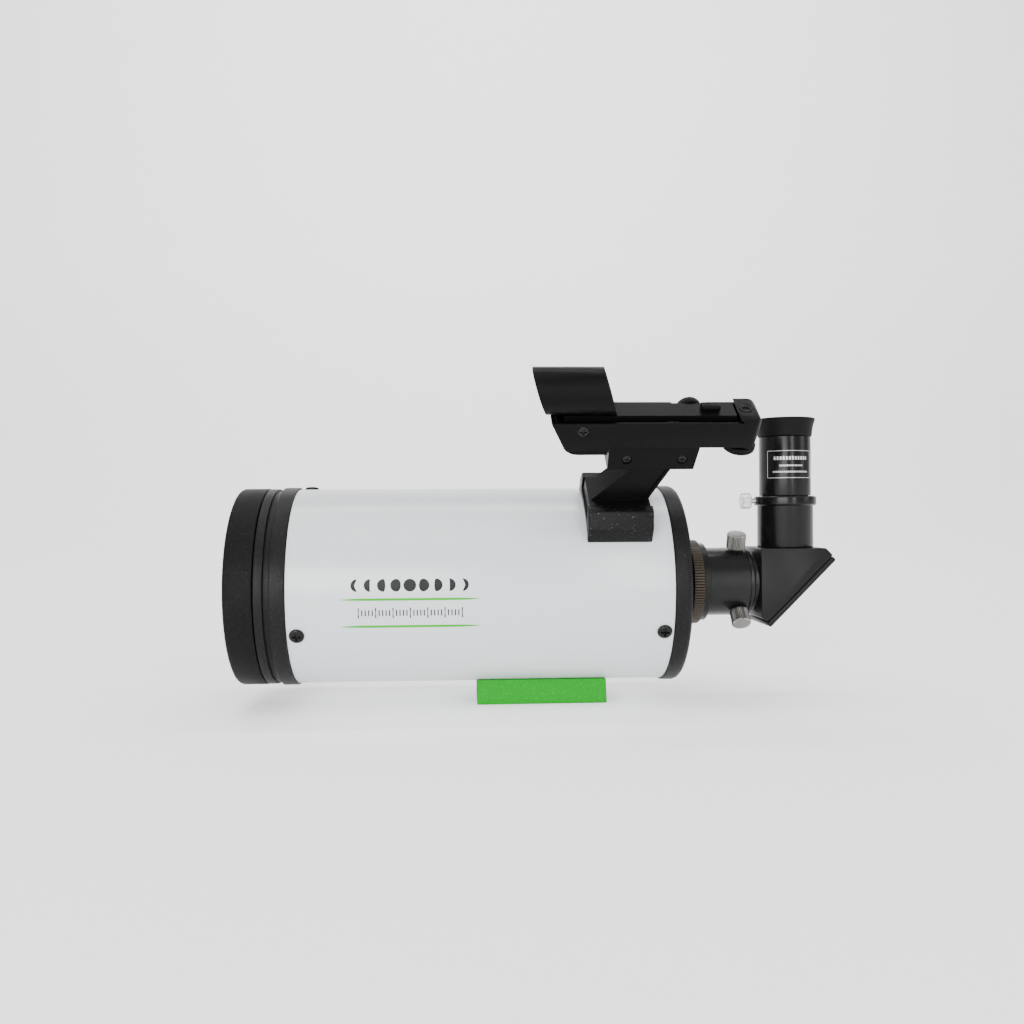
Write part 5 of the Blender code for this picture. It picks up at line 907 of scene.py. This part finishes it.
# %% Stage
floor_level = cad_low.z - 0.0002
BACK, RISE, BEND = 1.6, 3.0, 0.9
REACH = 9.0                 # how far the sheet goes to the sides and to the front
BEND_STEPS = 12
sheet = bmesh.new()
path = [(-REACH, 0.0), (BACK, 0.0)]
for step in range(1, BEND_STEPS + 1):
    angle = math.radians(90 * step / BEND_STEPS)
    path.append((BACK + BEND * math.sin(angle), BEND * (1 - math.cos(angle))))
path.append((BACK + BEND, RISE))
sides = [[sheet.verts.new((x, y, floor_level + z)) for y, z in path]
         for x in (-REACH, REACH)]
for i in range(len(path) - 1):
    sheet.faces.new((sides[0][i], sides[1][i], sides[1][i + 1], sides[0][i + 1]))
floor_mesh = mesh_from(sheet, "studio_sheet")
floor_mesh.shade_smooth()
paper = bpy.data.materials.new("white_paper")
paper.use_nodes = True
paper_shader = paper.node_tree.nodes["Principled BSDF"]
paper_shader.inputs["Base Color"].default_value = (0.93, 0.93, 0.93, 1.0)
paper_shader.inputs["Roughness"].default_value = 0.9
paper_shader.inputs["Emission Color"].default_value = (1.0, 1.0, 1.0, 1.0)
paper_shader.inputs["Emission Strength"].default_value = 0.52
floor_mesh.materials.append(paper)
studio_sheet = put_in_scene("studio_sheet", floor_mesh)

world = bpy.data.worlds.new("studio")
bpy.context.scene.world = world
world.use_nodes = True
background = world.node_tree.nodes["Background"]
background.inputs["Color"].default_value = (1.0, 1.0, 1.0, 1.0)
background.inputs["Strength"].default_value = 0.62


def soft_light(name, place, aim, size, power):
    lamp = bpy.data.lights.new(name, 'AREA')
    lamp.shape = 'RECTANGLE'
    lamp.size, lamp.size_y = size
    lamp.energy = power
    made = put_in_scene(name, lamp)
    made.location = place
    made.rotation_euler = (Vector(aim) - Vector(place)).to_track_quat('-Z', 'Y').to_euler()


AIM = (-0.04, 0.0, 0.08)
soft_light("top_light", (-0.3, -0.5, 1.5), AIM, (1.6, 1.0), 11.0)
soft_light("front_light", (-0.7, -1.7, 0.30), AIM, (1.2, 0.9), 38.0)
soft_light("strip_light", (0.56, -1.45, 0.45), (0.16, 0.0, 0.12), (0.20, 1.3), 11.0)
soft_light("side_light", (1.5, -0.6, 0.6), AIM, (0.5, 1.0), 5.0)
soft_light("backdrop_light", (0.0, 0.6, 2.4), (0.0, 2.5, 0.8), (3.0, 0.6), 60.0)
print("lights:", len(bpy.data.lights))

# %% [markdown]
# ## Camera
# The camera stands in front of the near side, a little above the optical axis, and is
# turned and rolled by less than three degrees. Its matrix is built from the three directions
# it should have.

# %% Camera
CAMERA_PLACE = (-0.04805, -0.61963, 0.12166)
CAMERA_TURNS = (-2.87, -0.21, -0.36)    # yaw, pitch and roll in degrees
camera_data = bpy.data.cameras.new("camera")
camera_data.sensor_width = 36.0
camera_data.lens = 33.88
camera_data.clip_start = 0.01
camera = put_in_scene("camera", camera_data)
yaw, pitch, roll = [math.radians(a) for a in CAMERA_TURNS]
look = Matrix.Rotation(yaw, 3, 'Z') @ Matrix.Rotation(pitch, 3, 'X')
ahead, level, above = [look @ Vector(v) for v in ((0, 1, 0), (1, 0, 0), (0, 0, 1))]
right = math.cos(roll) * level + math.sin(roll) * above
up = -math.sin(roll) * level + math.cos(roll) * above
turned_to = Matrix((right, up, -ahead)).transposed().to_4x4()
camera.matrix_world = Matrix.Translation(CAMERA_PLACE) @ turned_to
bpy.context.scene.camera = camera
print("camera at:", [round(c, 3) for c in camera.location])

# %% [markdown]
# ## Sizes
# The size of the imported model's box is printed. The finished model must stay inside the
# imported one's box.

# %% Finish
print("cad:", [round(c, 4) for c in cad_high - cad_low])
